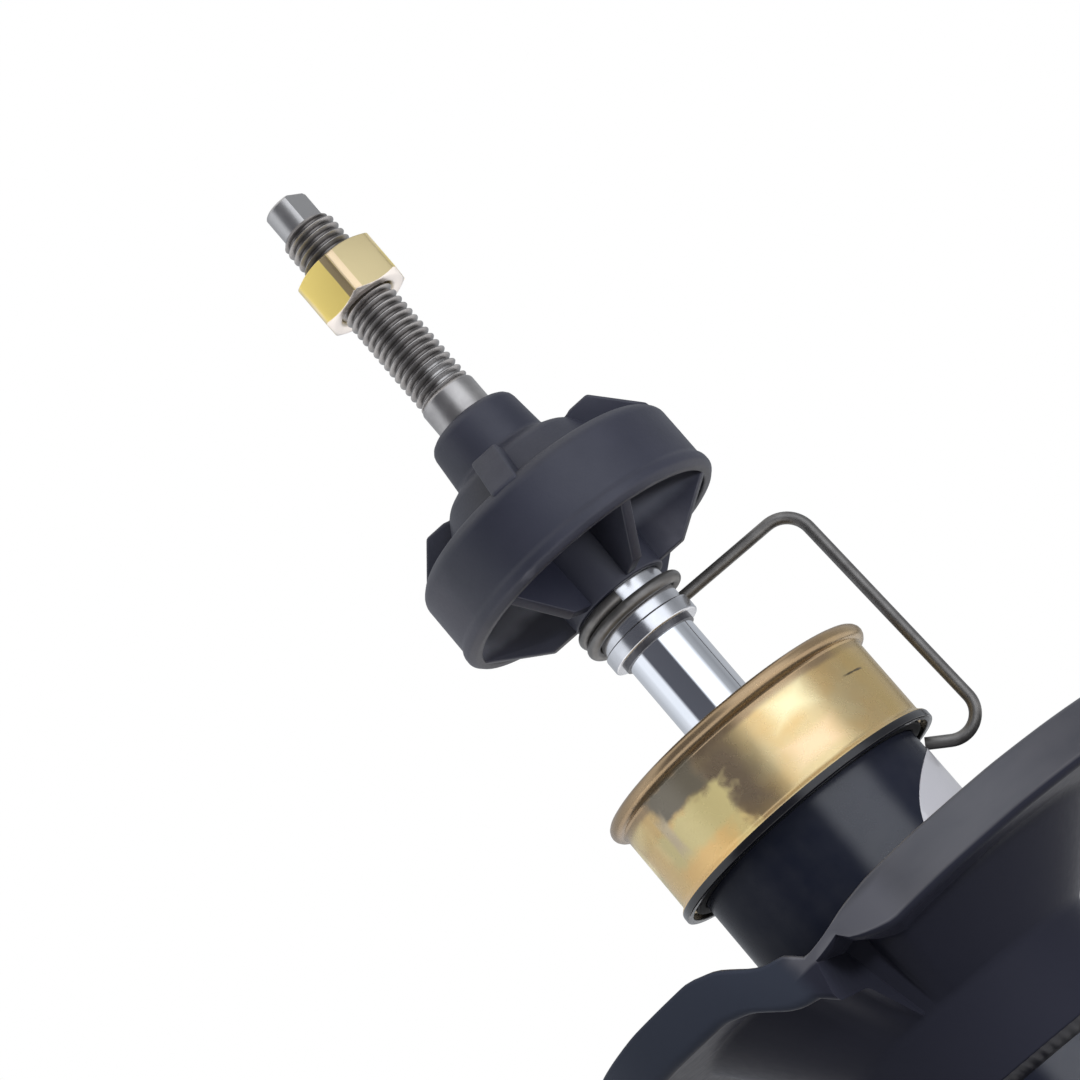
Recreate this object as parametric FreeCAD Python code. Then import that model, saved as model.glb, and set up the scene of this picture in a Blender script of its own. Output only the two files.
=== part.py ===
import FreeCAD, Part
import math
import os

# Strut-type shock absorber with its knuckle bracket, spring seat, piston rod and the wire clip
# that holds the rod in. Millimetres and degrees. +Z runs up the strut, towards the rod's tip.
# The origin is the middle of the two knuckle bolts, half way between the bracket's ears.
# The ears point along +X from the strut, and the bolts lie along Y. "Front" is -Y.

# Knuckle bracket
knuckle_reach = 48.0        # strut axis to the bolt line
bolt_spacing = 60.0
bolt_hole_r = 7.1
ear_gap = 46.0              # between the inner faces of the two ears
throat_reach = 10.5         # from the strut's axis to where the sheet leaves the tube
waist_reach = 18.0          # from the strut's axis to where the bracket narrows to its ears
ear_overhang = 17.0         # from the bolt line to the ears' free edge
ear_sheet = 3.5
ear_lip = 5.0               # how far the ears' edge stands outwards
wrap_height = 118.0         # height of the sheet that wraps the tube
wrap_drop = 50.0            # how far the wrap reaches below the bolt centre
ear_margin = 16.0           # sheet above and below the outer bolt holes
brace_sheet = 3.0
brace_margin = 13.0

# Strut tube and its base
tube_r = 30.0
tube_wall = 2.5
tube_length = 341.0
tube_below = 45.0           # how far the tube reaches below the bolt centre
rolled_edge = 6.5           # width of the edge rolled in over the seal
rolled_sheet = 3.0
rolled_round = 2.4
base_sheet = 4.0
base_dish = 5.0             # how far the base bulges downwards

# Top cap on the tube
cap_sheet = 1.6
cap_skirt = 21.8            # height of the plain skirt under the bead
cap_bead_r = 1.9
cap_bead_lift = 0.5         # bead's wire centre above the cap's plate
cap_bead_out = 2.3          # how far the bead stands out past the skirt
cap_lip_out = 1.4
cap_lip = 3.2
cap_hole_air = 4.0
cap_ring_wall = 2.6         # the ring fills the room between the tube and the cap's skirt
cap_ring_below = 1.1        # how far the ring shows under the cap's lip
cap_ring_height = 5.0

# Spring seat
seat_r = 76.0
seat_sheet = 3.0
seat_drop = 54.0            # rim's lowest point below the tube's top edge
seat_wall = 11.4            # height of the upturned rim
seat_step_wall = 3.0        # height of the rim beside the step
seat_floor = 8.0            # floor below the rim's top
seat_coil_r = 53.0          # where the floor turns down towards the neck
seat_cone = 9.0             # fall of the floor from there to the neck, at the rim's lowest point
seat_cone_sheet = 4.2       # thickness of the sloping sheet, measured upright
seat_neck = 24.0            # length of the neck that is welded to the tube
seat_sections = 36
seat_rim = [                # (angle from the front, rise of the rim above its lowest point)
    (-15, 0.0),
    (-5, 4.5),
    (10, 6.9),
    (40, 7.5),
    (160, 10.5),
    (310, 14.2),
    (328, 13.6),
    (335, 10.4),
    (340, 4.6),
    (345, 0.0),
]
seat_wall_start = -10.0
seat_wall_end = 12.0

# Hose bracket
hose_plate = 3.0
hose_drop = 51.0            # top of the bracket below the spring seat's neck
hose_reach = 24.0
hose_width = 22.0
hose_leg = 20.0
hose_hole_r = 5.5

# Pressure tube, rod guide and seal
bore_r = 15.0
pressure_wall = 1.5
foot_height = 6.0
foot_r = 20.0
valve_spigot = 8.0
valve_disc_r = 11.0
valve_disc = 0.8
valve_pin_r = 3.5
valve_head = 2.2
valve_head_r = 6.3
valve_port_r = 1.6
valve_ports = 6
foot_slots = 4
foot_slot_width = 6.0
foot_slot_depth = 2.5
foot_slot_end = 7.0         # where the slots stop short of the axis
seal_height = 8.0
guide_height = 16.0
guide_spigot = 10.0
bush_wall = 2.0
bush_length = 18.0
guide_relief = 0.8          # how far the guide's bore stands off the rod
lip_cavity = 6.0
lip_wall = 1.2
lip_air = 1.0               # lip's end above the floor of its cavity
lip_root = 2.0              # how much wider the dust lip's root is
lip_cavity_r = 14.0
garter_wire_r = 0.8
o_ring_wire_r = 1.2

# Piston rod and what it carries
rod_r = 9.0
rod_gap = 25.0              # cap's top to the collar's ring, with the clip on
rod_shoulder_rise = 61.5    # collar's ring to the rod's shoulder
shank_r = 7.3
shank_length = 16.4
relief_r = 7.0              # groove that frees the shank's seat from the cup's top
relief_height = 0.6
stud_r = 7.0
stud_length = 53.2
tip_r = 5.8
tip_length = 7.9
tip_flats = 8.0
tip_chamfer = 0.8
tip_turn = 60.0             # how far the flats are turned from front and back
tenon_r = 6.0
tenon_tail = 1.5
in_stroke = 24.0            # rod travel from here to fully in
out_stroke = 150.0          # rod travel from here to fully out
end_room = 3.5              # room left at the base valve with the rod fully in
piston_height = 18.0
piston_wall = 0.4           # piston's outside below the bore's
band_height = 12.0
band_wall = 1.55
piston_disc_r = 11.5
piston_disc = 1.6
piston_plate_r = 12.5
piston_plate = 1.2
piston_port_r = 1.5
piston_ports = 6
piston_port_circle = 9.0
piston_nut_flats = 19.0
piston_nut_height = 8.0
stop_ring_r = 13.4
stop_ring_height = 4.0
stop_groove = 0.5
bumper_height = 10.0
bumper_round = 2.5
bumper_air = 0.5            # bumper to the rod guide with the rod fully out

# Collar, cup, nut and clip
collar_ring_height = 1.2
collar_ring_out = 0.7
collar_groove = 0.7
flange_r = 11.8
flange_height = 4.0
sleeve_wall = 1.85
collar_round = 0.5
nut_flats = 21.0
nut_height = 12.8
nut_face_in = 0.3           # how far the faces' circle lies inside the flats
nut_chamfer = 1.16
nut_rise = 29.1             # nut's underside above the thread's lower end
cup_r = 35.2
cup_wall = 2.6
cup_bead = 0.7
cup_bead_height = 4.6
cup_bead_chamfer = 1.4
cup_rim_rise = 9.2          # hub's lower end to the rim's lower edge
cup_side = 19.5             # height of the straight side
cup_chamfer = 2.6
cup_hub_r = 12.6
cup_hub_top_r = 11.6
cup_hub_height = 12.5
cup_hub_round = 2.6
cup_draft = 1.2             # how much wider the hub is at its root
cup_corner = 3.0            # sloped corner between ceiling and wall
cup_round = 1.6
cup_edge = 0.6
cup_tier_r = 18.2
cup_tier_foot_r = 23.2
cup_tier_fall = 2.8
cup_web = 2.8
cup_webs = 6
cup_web_turn = 26.0
cup_web_foot_r = 19.5       # where the webs' lower edges start to climb to the rim
cup_rib = 7.2
cup_ribs = 4
cup_rib_turn = -6.0
cup_rib_r = 24.8
cup_rib_foot_r = 33.4
cup_rib_rise = 0.5          # ribs' tops above the tier's foot
cup_top_wall = 8.0
cup_top_sheet = 3.0
wire_r = 1.5
coil_pitch = 3.1
coil_half_turns = 3
coil_lift = 1.1             # flange's top to the coil's lowest turn
coil_room = 0.4             # coil's top to the cup's hub
arm_room = 7.8              # the arm's upright stands this far off the cap's lip
arm_spread = 2.6            # how much further out the wire stands at its foot
arm_bend = 7.0
hook_bend = 6.2
hook_fall = 10.0            # from the hook's tip down to the corner of its bend
hook_under = 4.6            # how far the hook's tip reaches in under the cap's lip
hook_air = 0.3

# Clearances
running = 0.05
slip = 0.1
past = 1.0                  # how far a cutting shape runs past what it cuts

# Heights, worked out from the sizes above
axis_x = -knuckle_reach
tube_bottom = -tube_below
tube_top = tube_length - tube_below
tube_bore_r = tube_r - tube_wall
seat_low = tube_top - seat_drop
neck_z = seat_low - seat_floor - seat_cone
cap_plate_top = tube_top + cap_sheet
bead_z = cap_plate_top + cap_bead_lift
cap_top = bead_z + cap_bead_r
skirt_bottom = cap_plate_top - cap_skirt
lip_bottom = skirt_bottom - cap_lip
cap_skirt_r = tube_r + cap_ring_wall + cap_sheet
cap_lip_r = cap_skirt_r + cap_lip_out
cap_hole_r = rod_r + cap_hole_air
seal_top = tube_top - rolled_sheet
guide_top = seal_top - seal_height
guide_bottom = guide_top - guide_height
spigot_bottom = guide_bottom - guide_spigot
foot_bottom = tube_bottom + base_sheet
foot_top = foot_bottom + foot_height
valve_top = foot_top + valve_spigot
valve_end = valve_top + valve_disc + valve_head
ring_bottom = cap_top + rod_gap
ring_top = ring_bottom + collar_ring_height
flange_top = ring_top + flange_height
rod_shoulder = ring_bottom + rod_shoulder_rise
stud_bottom = rod_shoulder + shank_length
stud_top = stud_bottom + stud_length
tip_top = stud_top + tip_length
rod_end = valve_end + in_stroke + end_room
piston_nut_bottom = rod_end + tenon_tail
piston_nut_top = piston_nut_bottom + piston_nut_height
piston_bottom = piston_nut_top + piston_disc
piston_top = piston_bottom + piston_height
tenon_top = piston_top + piston_plate
bumper_top = spigot_bottom - out_stroke - bumper_air
bumper_bottom = bumper_top - bumper_height
stop_ring_bottom = bumper_bottom - stop_ring_height
sleeve_r = rod_r + running + sleeve_wall
coil_r = sleeve_r + running + wire_r
coil_bottom = flange_top + wire_r + coil_lift
hub_bottom = coil_bottom + coil_pitch / 2 * coil_half_turns + wire_r + coil_room
cup_rim = hub_bottom + cup_rim_rise
cup_shoulder = cup_rim + cup_side
cup_top = rod_shoulder + cup_top_wall
hub_foot = cup_top - cup_hub_height
tier_foot = hub_foot - cup_tier_fall
hook_z = lip_bottom - wire_r - hook_air
arm_reach = cap_lip_r + arm_room
hook_reach = cap_lip_r - hook_under


def at(x, y, z):
    return FreeCAD.Vector(x, y, z)


def path(corners, plane_y=0.0, closed=True):
    """A wire through (x, z, fillet) corners in a plane across Y, with an arc at each fillet."""
    points = [at(x, plane_y, z) for x, z, _ in corners]
    count = len(points)
    entries = []
    leaves = []
    arcs = []
    for i in range(count):
        corner = points[i]
        fillet = corners[i][2]
        inner = closed or 0 < i < count - 1
        if not fillet or not inner:
            entries.append(corner)
            leaves.append(corner)
            arcs.append(None)
            continue
        back = (points[i - 1] - corner).normalize()
        ahead = (points[(i + 1) % count] - corner).normalize()
        half = back.getAngle(ahead) / 2
        run = fillet / math.tan(half)
        middle = (back + ahead).normalize() * (fillet / math.sin(half) - fillet)
        entries.append(corner + back * run)
        leaves.append(corner + ahead * run)
        arcs.append(corner + middle)
    edges = []
    for i in range(count):
        if arcs[i]:
            edges.append(Part.Arc(entries[i], arcs[i], leaves[i]).toShape())
        last = i == count - 1
        if last and not closed:
            break
        start = leaves[i]
        end = entries[(i + 1) % count]
        if (end - start).Length > 1e-6:
            edges.append(Part.LineSegment(start, end).toShape())
    return Part.Wire(edges)


def turned(corners):
    """A solid of revolution about the strut's axis, from its (r, z, fillet) outline."""
    solid = Part.Face(path(corners)).revolve(at(0, 0, 0), at(0, 0, 1), 360)
    if solid.Volume < 0:
        solid.reverse()
    return placed(solid)


def placed(shape):
    """Moves a shape that was made about Z onto the strut's axis."""
    shape.translate(at(axis_x, 0, 0))
    return shape


def sleeve(inner, outer, low, high):
    return turned([(inner, low, 0), (outer, low, 0), (outer, high, 0), (inner, high, 0)])


def rod_piece(radius, low, high):
    return placed(Part.makeCylinder(radius, high - low, at(0, 0, low)))


def ring(centre_r, wire, z):
    return placed(Part.makeTorus(centre_r, wire, at(0, 0, z)))


def around(shape, angle):
    """A copy turned about the strut's axis. 0 is the front, and angles run towards +X."""
    copy = shape.copy()
    copy.rotate(at(axis_x, 0, 0), at(0, 0, 1), angle)
    return copy


def block(low, high):
    size = [h - l for l, h in zip(low, high)]
    return Part.makeBox(*size, at(*low))


def outline_block(corners, low_y, high_y):
    """A plate cut to an (x, z, fillet) outline, from one Y to another."""
    return Part.Face(path(corners, low_y)).extrude(at(0, high_y - low_y, 0))


def flat_block(points, low_z, high_z):
    """A plate cut to an (x, y) outline, from one height to another."""
    corners = [at(x, y, low_z) for x, y in points]
    face = Part.Face(Part.makePolygon(corners + corners[:1]))
    return face.extrude(at(0, 0, high_z - low_z))


def hexagon(flats, low, high):
    """A hexagonal prism on the strut's axis with one edge at the front."""
    corner_r = flats / 2 / math.cos(math.radians(30))
    turns = [math.radians(60 * n - 90) for n in range(6)]
    points = [(axis_x + corner_r * math.cos(a), corner_r * math.sin(a)) for a in turns]
    return flat_block(points, low, high)


def bolt_holes(radius, reach):
    holes = []
    for side in (-1, 1):
        start = at(0, -reach, side * bolt_spacing / 2)
        holes.append(Part.makeCylinder(radius, 2 * reach, start, at(0, 1, 0)))
    return holes


# Strut tube, closed by a dished base below and by its own rolled edge above

def make_outer_tube():
    return turned([
        (tube_bore_r, tube_bottom, 0),
        (tube_r, tube_bottom, 0),
        (tube_r, tube_top, rolled_round),
        (tube_bore_r - rolled_edge, tube_top, 0),
        (tube_bore_r - rolled_edge, seal_top, 0),
        (tube_bore_r, seal_top, 0),
    ])


def make_tube_base():
    plate = [
        (0, tube_bottom - base_dish, 0),
        (tube_bore_r / 2, tube_bottom - base_dish, base_dish),
        (tube_bore_r, tube_bottom, 0),
        (tube_bore_r, foot_bottom, 0),
        (0, foot_bottom, 0),
    ]
    return turned(plate)


# Knuckle bracket: one sheet wrapped round the tube, its two ears, and a channel between them

def wrap_section(extra, low, high):
    """Everything inside the wrapped sheet, grown by a thickness: the tube and the throat."""
    side = ear_gap / 2 + extra
    round_part = rod_piece(tube_r + extra, low, high)
    shoulder_x = axis_x + throat_reach
    throat = flat_block([
        (axis_x, -tube_r - extra),
        (shoulder_x, -tube_r - extra),
        (-ear_overhang - brace_sheet, -side),
        (ear_overhang, -side),
        (ear_overhang, side),
        (-ear_overhang - brace_sheet, side),
        (shoulder_x, tube_r + extra),
        (axis_x, tube_r + extra),
    ], low, high)
    return round_part.fuse(throat)


def ear_outline(inset):
    """The bracket seen from the side, as (x, z, fillet) corners."""
    reach = bolt_spacing / 2 + ear_margin - inset
    top = wrap_height - wrap_drop
    back = axis_x - tube_r - 2 * ear_sheet
    waist = axis_x + waist_reach
    return [
        (back, -wrap_drop, 0),
        (waist, -wrap_drop, 0),
        (-ear_overhang + inset, -reach, ear_margin / 2),
        (ear_overhang - inset, -reach, ear_margin - inset),
        (ear_overhang - inset, reach, ear_margin - inset),
        (-ear_overhang + inset, reach, ear_margin / 2),
        (waist, top, 0),
        (back, top, 0),
    ]


def make_knuckle_bracket():
    low = -wrap_drop - past
    high = wrap_height
    sheet = wrap_section(ear_sheet, low, high).cut(wrap_section(0, low - past, high + past))
    outer = ear_gap / 2 + ear_sheet
    mouth = block((ear_overhang - past, -outer, low), (ear_overhang + past, outer, high))
    width = tube_r + 2 * ear_sheet
    sheet = sheet.cut(mouth.common(wrap_section(0, low, high)))
    sheet = sheet.common(outline_block(ear_outline(0), -width, width))
    rim_back = -ear_overhang
    for side in (-1, 1):
        near = side * outer
        far = side * (outer + ear_lip)
        low_y = min(near, far)
        high_y = max(near, far)
        lip = outline_block(ear_outline(0), low_y, high_y)
        lip = lip.cut(outline_block(ear_outline(ear_sheet), low_y - past, high_y + past))
        lip = lip.common(block((rim_back, low_y, low), (ear_overhang, high_y, high)))
        sheet = sheet.fuse(lip)
    for hole in bolt_holes(bolt_hole_r, outer + ear_lip + past):
        sheet = sheet.cut(hole)
    return sheet.removeSplitter()


def make_bracket_brace():
    """A channel between the ears, with its back against the tube."""
    half = ear_gap / 2
    reach = bolt_spacing / 2 + brace_margin
    back = axis_x + tube_r
    front = ear_overhang - ear_sheet
    channel = outline_block([
        (back, -reach, 0),
        (front, -reach, brace_margin / 2),
        (front, reach, brace_margin / 2),
        (back, reach, 0),
    ], -half, half)
    inside = block(
        (back + brace_sheet, -half + brace_sheet, -reach - past),
        (ear_overhang + past, half - brace_sheet, reach + past),
    )
    channel = channel.cut(inside)
    for hole in bolt_holes(bolt_hole_r, half + past):
        channel = channel.cut(hole)
    return channel


# Spring seat: a pressed pan whose rim climbs round the strut like the spring's last coil



def seat_rise(angle):
    """The rim's rise at an angle, read off seat_rim."""
    for (a0, h0), (a1, h1) in zip(seat_rim, seat_rim[1:]):
        if a0 <= angle <= a1:
            return h0 + (h1 - h0) * (angle - a0) / (a1 - a0)
    return seat_rim[-1][1]


def seat_wall_at(angle):
    """The rim's height, which is low beside the step, where the spring's end lies."""
    share = (angle - seat_wall_start) / (seat_wall_end - seat_wall_start)
    share = min(1.0, max(0.0, share))
    return seat_step_wall + (seat_wall - seat_step_wall) * share


def seat_section(angle):
    """The pan's cross-section at an angle, as a closed wire on the strut's axis."""
    top = seat_low + seat_rise(angle)
    wall = seat_wall_at(angle)
    floor = top - min(seat_floor, wall)
    fold = min(seat_sheet, wall / 2)
    corners = [
        (tube_r - past, neck_z),
        (tube_r + seat_sheet, neck_z),
        (seat_coil_r, floor),
        (seat_r - 2 * seat_sheet, floor),
        (seat_r - seat_sheet, floor + fold),
        (seat_r - seat_sheet, top),
        (seat_r, top),
        (seat_r, top - wall + fold),
        (seat_r - seat_sheet, top - wall),
        (seat_coil_r, floor - seat_sheet),
        (tube_r + seat_sheet, neck_z - seat_cone_sheet),
        (tube_r - past, neck_z - seat_cone_sheet),
    ]
    turn = math.radians(angle - 90)
    points = [at(axis_x + r * math.cos(turn), r * math.sin(turn), z) for r, z in corners]
    return Part.makePolygon(points + points[:1])


def make_spring_seat():
    first = seat_rim[0][0]
    step = 360 / seat_sections
    sections = [seat_section(first + n * step) for n in range(seat_sections)]
    halves = []
    half = seat_sections // 2
    for start in (0, half):
        run = [sections[(start + n) % seat_sections] for n in range(half + 1)]
        halves.append(Part.makeLoft(run, True, True))
    pan = halves[0].fuse(halves[1])
    neck = sleeve(tube_r, tube_r + seat_sheet, neck_z - seat_neck, neck_z)
    tube = rod_piece(tube_r, neck_z - 2 * seat_neck, neck_z + seat_neck)
    return pan.cut(tube).fuse(neck)


def make_hose_bracket():
    """A bent strip on the front of the tube, with a hole for a hose clip."""
    top = neck_z - seat_neck - hose_drop
    face = -tube_r
    leg = block(
        (axis_x - hose_width / 2, face - hose_plate, top - hose_leg),
        (axis_x + hose_width / 2, face + hose_plate, top),
    )
    shelf = block(
        (axis_x - hose_width / 2, face - hose_reach - hose_width / 2, top - hose_plate),
        (axis_x + hose_width / 2, face, top),
    )
    nose = Part.makeCylinder(
        hose_width / 2, hose_plate, at(axis_x, face - hose_reach, top - hose_plate)
    )
    stem = block(
        (axis_x - hose_width / 2, face - hose_reach, top - hose_plate),
        (axis_x + hose_width / 2, face, top),
    )
    strip = leg.fuse(shelf.common(stem.fuse(nose)))
    hole = Part.makeCylinder(
        hose_hole_r, 3 * hose_plate, at(axis_x, face - hose_reach, top - 2 * hose_plate)
    )
    tube = rod_piece(tube_r, top - 2 * hose_leg, top + hose_leg)
    return strip.cut(hole).cut(tube).removeSplitter()


# Top cap, and the ring that fills its mouth

def make_top_cap():
    inner = cap_skirt_r - cap_sheet
    shell = turned([
        (cap_hole_r, tube_top, 0),
        (inner, tube_top, 0),
        (inner, skirt_bottom, 0),
        (cap_lip_r - cap_sheet, skirt_bottom - cap_lip_out, 0),
        (cap_lip_r - cap_sheet, lip_bottom, 0),
        (cap_lip_r, lip_bottom, 0),
        (cap_lip_r, skirt_bottom - cap_lip_out, 0),
        (cap_skirt_r, skirt_bottom, 0),
        (cap_skirt_r, cap_plate_top, 0),
        (cap_hole_r, cap_plate_top, 0),
    ])
    bead = ring(cap_skirt_r + cap_bead_out - cap_bead_r, cap_bead_r, bead_z)
    return shell.fuse(bead)


def make_cap_ring():
    low = lip_bottom - cap_ring_below
    outer = cap_skirt_r - cap_sheet
    return sleeve(tube_r, outer, low, low + cap_ring_height)


# Inside the tube: pressure tube, base valve, rod guide and seal

def make_pressure_tube():
    return sleeve(bore_r, bore_r + pressure_wall, foot_top, guide_bottom)


def make_base_valve_body():
    body = turned([
        (valve_pin_r, foot_bottom, 0),
        (foot_r, foot_bottom, 0),
        (foot_r, foot_top, 0),
        (bore_r, foot_top, 0),
        (bore_r, valve_top, 0),
        (valve_pin_r, valve_top, 0),
    ])
    for n in range(foot_slots):
        slot = block(
            (axis_x - foot_slot_width / 2, -foot_r - past, foot_bottom),
            (axis_x + foot_slot_width / 2, -foot_slot_end, foot_bottom + foot_slot_depth),
        )
        body = body.cut(around(slot, n * 360 / foot_slots))
    port_circle = (valve_pin_r + valve_disc_r) / 2
    for n in range(valve_ports):
        port = Part.makeCylinder(
            valve_port_r,
            valve_top - foot_bottom + 2 * past,
            at(axis_x, -port_circle, foot_bottom - past),
        )
        body = body.cut(around(port, n * 360 / valve_ports))
    return body


def make_base_valve_disc():
    return sleeve(valve_pin_r, valve_disc_r, valve_top, valve_top + valve_disc)


def make_base_valve_pin():
    disc_top = valve_top + valve_disc
    return turned([
        (0, foot_bottom, 0),
        (valve_pin_r, foot_bottom, 0),
        (valve_pin_r, disc_top, 0),
        (valve_head_r, disc_top, 0),
        (valve_head_r, valve_end, valve_head / 2),
        (0, valve_end, 0),
    ])


def make_rod_guide():
    outer = tube_bore_r - running
    spigot = bore_r - running
    bush_r = rod_r + running + bush_wall
    bush_top = guide_top - lip_cavity
    bush_low = bush_top - bush_length
    groove_r = tube_bore_r - 2 * o_ring_wire_r
    groove_mid = guide_bottom + guide_height / 2
    return turned([
        (rod_r + guide_relief, spigot_bottom, 0),
        (spigot, spigot_bottom, 0),
        (spigot, guide_bottom, 0),
        (outer, guide_bottom, 0),
        (outer, groove_mid - o_ring_wire_r, 0),
        (groove_r, groove_mid - o_ring_wire_r, 0),
        (groove_r, groove_mid + o_ring_wire_r, 0),
        (outer, groove_mid + o_ring_wire_r, 0),
        (outer, guide_top, 0),
        (lip_cavity_r, guide_top, 0),
        (lip_cavity_r, bush_top, 0),
        (bush_r, bush_top, 0),
        (bush_r, bush_low, 0),
        (rod_r + guide_relief, bush_low, 0),
    ])


def make_guide_bush():
    top = guide_top - lip_cavity
    inner = rod_r + running
    return sleeve(inner, inner + bush_wall, top - bush_length, top)


def make_rod_seal():
    inner = rod_r + running
    neck = inner + lip_wall
    outer = tube_bore_r - running
    return turned([
        (inner, guide_top - lip_cavity + lip_air, 0),
        (neck, guide_top - lip_cavity + lip_air, 0),
        (neck, guide_top, 0),
        (outer, guide_top, 0),
        (outer, seal_top, 0),
        (neck + lip_root, seal_top, 0),
        (neck, tube_top, 0),
        (inner, tube_top, 0),
    ])


def make_seal_spring():
    neck = rod_r + running + lip_wall
    return ring(neck + garter_wire_r, garter_wire_r, guide_top - lip_cavity / 2)


def make_guide_o_ring():
    return ring(tube_bore_r - o_ring_wire_r, o_ring_wire_r, guide_bottom + guide_height / 2)


# Piston rod and everything that slides with it

def make_piston_rod():
    groove_r = rod_r - collar_groove
    stop_r = rod_r - stop_groove
    rod = turned([
        (0, rod_end, 0),
        (tenon_r, rod_end, 0),
        (tenon_r, tenon_top, 0),
        (rod_r, tenon_top, 0),
        (rod_r, stop_ring_bottom, 0),
        (stop_r, stop_ring_bottom, 0),
        (stop_r, bumper_bottom, 0),
        (rod_r, bumper_bottom, 0),
        (rod_r, ring_bottom, 0),
        (groove_r, ring_bottom, 0),
        (groove_r, ring_top, 0),
        (rod_r, ring_top, 0),
        (rod_r, rod_shoulder, 0),
        (shank_r, rod_shoulder, 0),
        (shank_r, cup_top, 0),
        (relief_r, cup_top, 0),
        (relief_r, cup_top + relief_height, 0),
        (shank_r, cup_top + relief_height, 0),
        (shank_r, stud_bottom, 0),
        (stud_r, stud_bottom, 0),
        (stud_r, stud_top, 0),
        (tip_r, stud_top, 0),
        (tip_r, tip_top - tip_chamfer, 0),
        (tip_r - tip_chamfer, tip_top, 0),
        (0, tip_top, 0),
    ])
    for side in (0, 1):
        waste = block(
            (axis_x - stud_r, tip_flats / 2, stud_top),
            (axis_x + stud_r, stud_r, tip_top + past),
        )
        rod = rod.cut(around(waste, 180 * side + tip_turn))
    return rod


def make_piston():
    outer = bore_r - piston_wall
    groove_r = bore_r - running - band_wall - running
    middle = (piston_bottom + piston_top) / 2
    half = band_height / 2 + slip
    body = turned([
        (tenon_r, piston_bottom, 0),
        (outer, piston_bottom, 0),
        (outer, middle - half, 0),
        (groove_r, middle - half, 0),
        (groove_r, middle + half, 0),
        (outer, middle + half, 0),
        (outer, piston_top, 0),
        (tenon_r, piston_top, 0),
    ])
    for n in range(piston_ports):
        port = Part.makeCylinder(
            piston_port_r,
            piston_height + 2 * past,
            at(axis_x, -piston_port_circle, piston_bottom - past),
        )
        body = body.cut(around(port, n * 360 / piston_ports))
    return body


def make_piston_band():
    outer = bore_r - running
    middle = (piston_bottom + piston_top) / 2
    return sleeve(outer - band_wall, outer, middle - band_height / 2, middle + band_height / 2)


def make_piston_discs():
    return sleeve(tenon_r, piston_disc_r, piston_nut_top, piston_bottom)


def make_piston_plate():
    return sleeve(tenon_r, piston_plate_r, piston_top, tenon_top)


def make_piston_nut():
    nut = hexagon(piston_nut_flats, piston_nut_bottom, piston_nut_top)
    return nut.cut(rod_piece(tenon_r, piston_nut_bottom - past, piston_nut_top + past))


def make_rebound_stop():
    return sleeve(rod_r - stop_groove, stop_ring_r, stop_ring_bottom, bumper_bottom)


def make_rebound_bumper():
    return turned([
        (rod_r, bumper_bottom, 0),
        (stop_ring_r, bumper_bottom, 0),
        (stop_ring_r, bumper_top, bumper_round),
        (rod_r, bumper_top, 0),
    ])


# Collar on the rod, its ring, and the clip's wire

def make_collar_ring():
    return sleeve(rod_r - collar_groove, rod_r + collar_ring_out, ring_bottom, ring_top)


def make_stop_collar():
    inner = rod_r + running
    return turned([
        (inner, ring_top, 0),
        (flange_r, ring_top, collar_round),
        (flange_r, flange_top, collar_round),
        (sleeve_r, flange_top, 0),
        (sleeve_r, rod_shoulder - slip, collar_round),
        (inner, rod_shoulder - slip, 0),
    ])


def coil_arcs():
    """The clip's coil, from its free end down to the arm. Each half turn is a tilted flat arc."""
    rise = coil_pitch / 2
    tilted_r = math.hypot(coil_r, rise / 2)
    arcs = []
    for n in range(coil_half_turns, 0, -1):
        side = -1 if n % 2 else 1
        high = coil_bottom + n * rise
        start = at(0, side * coil_r, high)
        middle = at(side * tilted_r, 0, high - rise / 2)
        end = at(0, -side * coil_r, high - rise)
        arcs.append(Part.Arc(start, middle, end).toShape())
    return arcs


def make_retaining_wire():
    """A coil round the collar, and an arm that runs out, down and under the cap's lip."""
    coil = coil_arcs()
    foot_x = arm_reach + arm_spread
    arm = path([
        (0, coil_bottom, 0),
        (arm_reach, coil_bottom, arm_bend),
        (foot_x, hook_z - hook_fall, hook_bend),
        (hook_reach, hook_z, 0),
    ], coil_r, False)
    route = Part.Wire(coil + arm.Edges)
    free_end = coil[0].valueAt(coil[0].FirstParameter)
    section = Part.Wire(Part.makeCircle(wire_r, free_end, at(1, 0, 0)))
    return placed(route.makePipeShell([section], True, False))


# Moulded cup: hub, domed tier, shell, ribs on top and webs underneath

def cup_shell():
    bore = sleeve_r + slip
    ceiling = cup_shoulder - cup_top_sheet
    inner = cup_r - cup_wall
    return turned([
        (shank_r + slip, cup_top, 0),
        (shank_r + slip, rod_shoulder, 0),
        (bore, rod_shoulder, 0),
        (bore, hub_bottom, 0),
        (cup_hub_r, hub_bottom, cup_edge),
        (cup_hub_r + cup_draft, ceiling, cup_round),
        (inner - cup_corner, ceiling, cup_round),
        (inner, ceiling - cup_corner, 0),
        (inner, cup_rim, 0),
        (cup_r + cup_bead - cup_bead_chamfer, cup_rim, 0),
        (cup_r + cup_bead, cup_rim + cup_bead_chamfer, cup_edge),
        (cup_r + cup_bead, cup_rim + cup_bead_height - cup_bead, cup_edge),
        (cup_r, cup_rim + cup_bead_height, 0),
        (cup_r, cup_shoulder - cup_chamfer / 2, cup_round),
        (cup_r - cup_chamfer, cup_shoulder + cup_chamfer / 2, cup_round),
        (cup_tier_foot_r, cup_shoulder + cup_chamfer, cup_round),
        (cup_tier_r, tier_foot, cup_round),
        (cup_hub_r, hub_foot, cup_edge),
        (cup_hub_top_r, cup_top, cup_hub_round),
    ])


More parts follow.
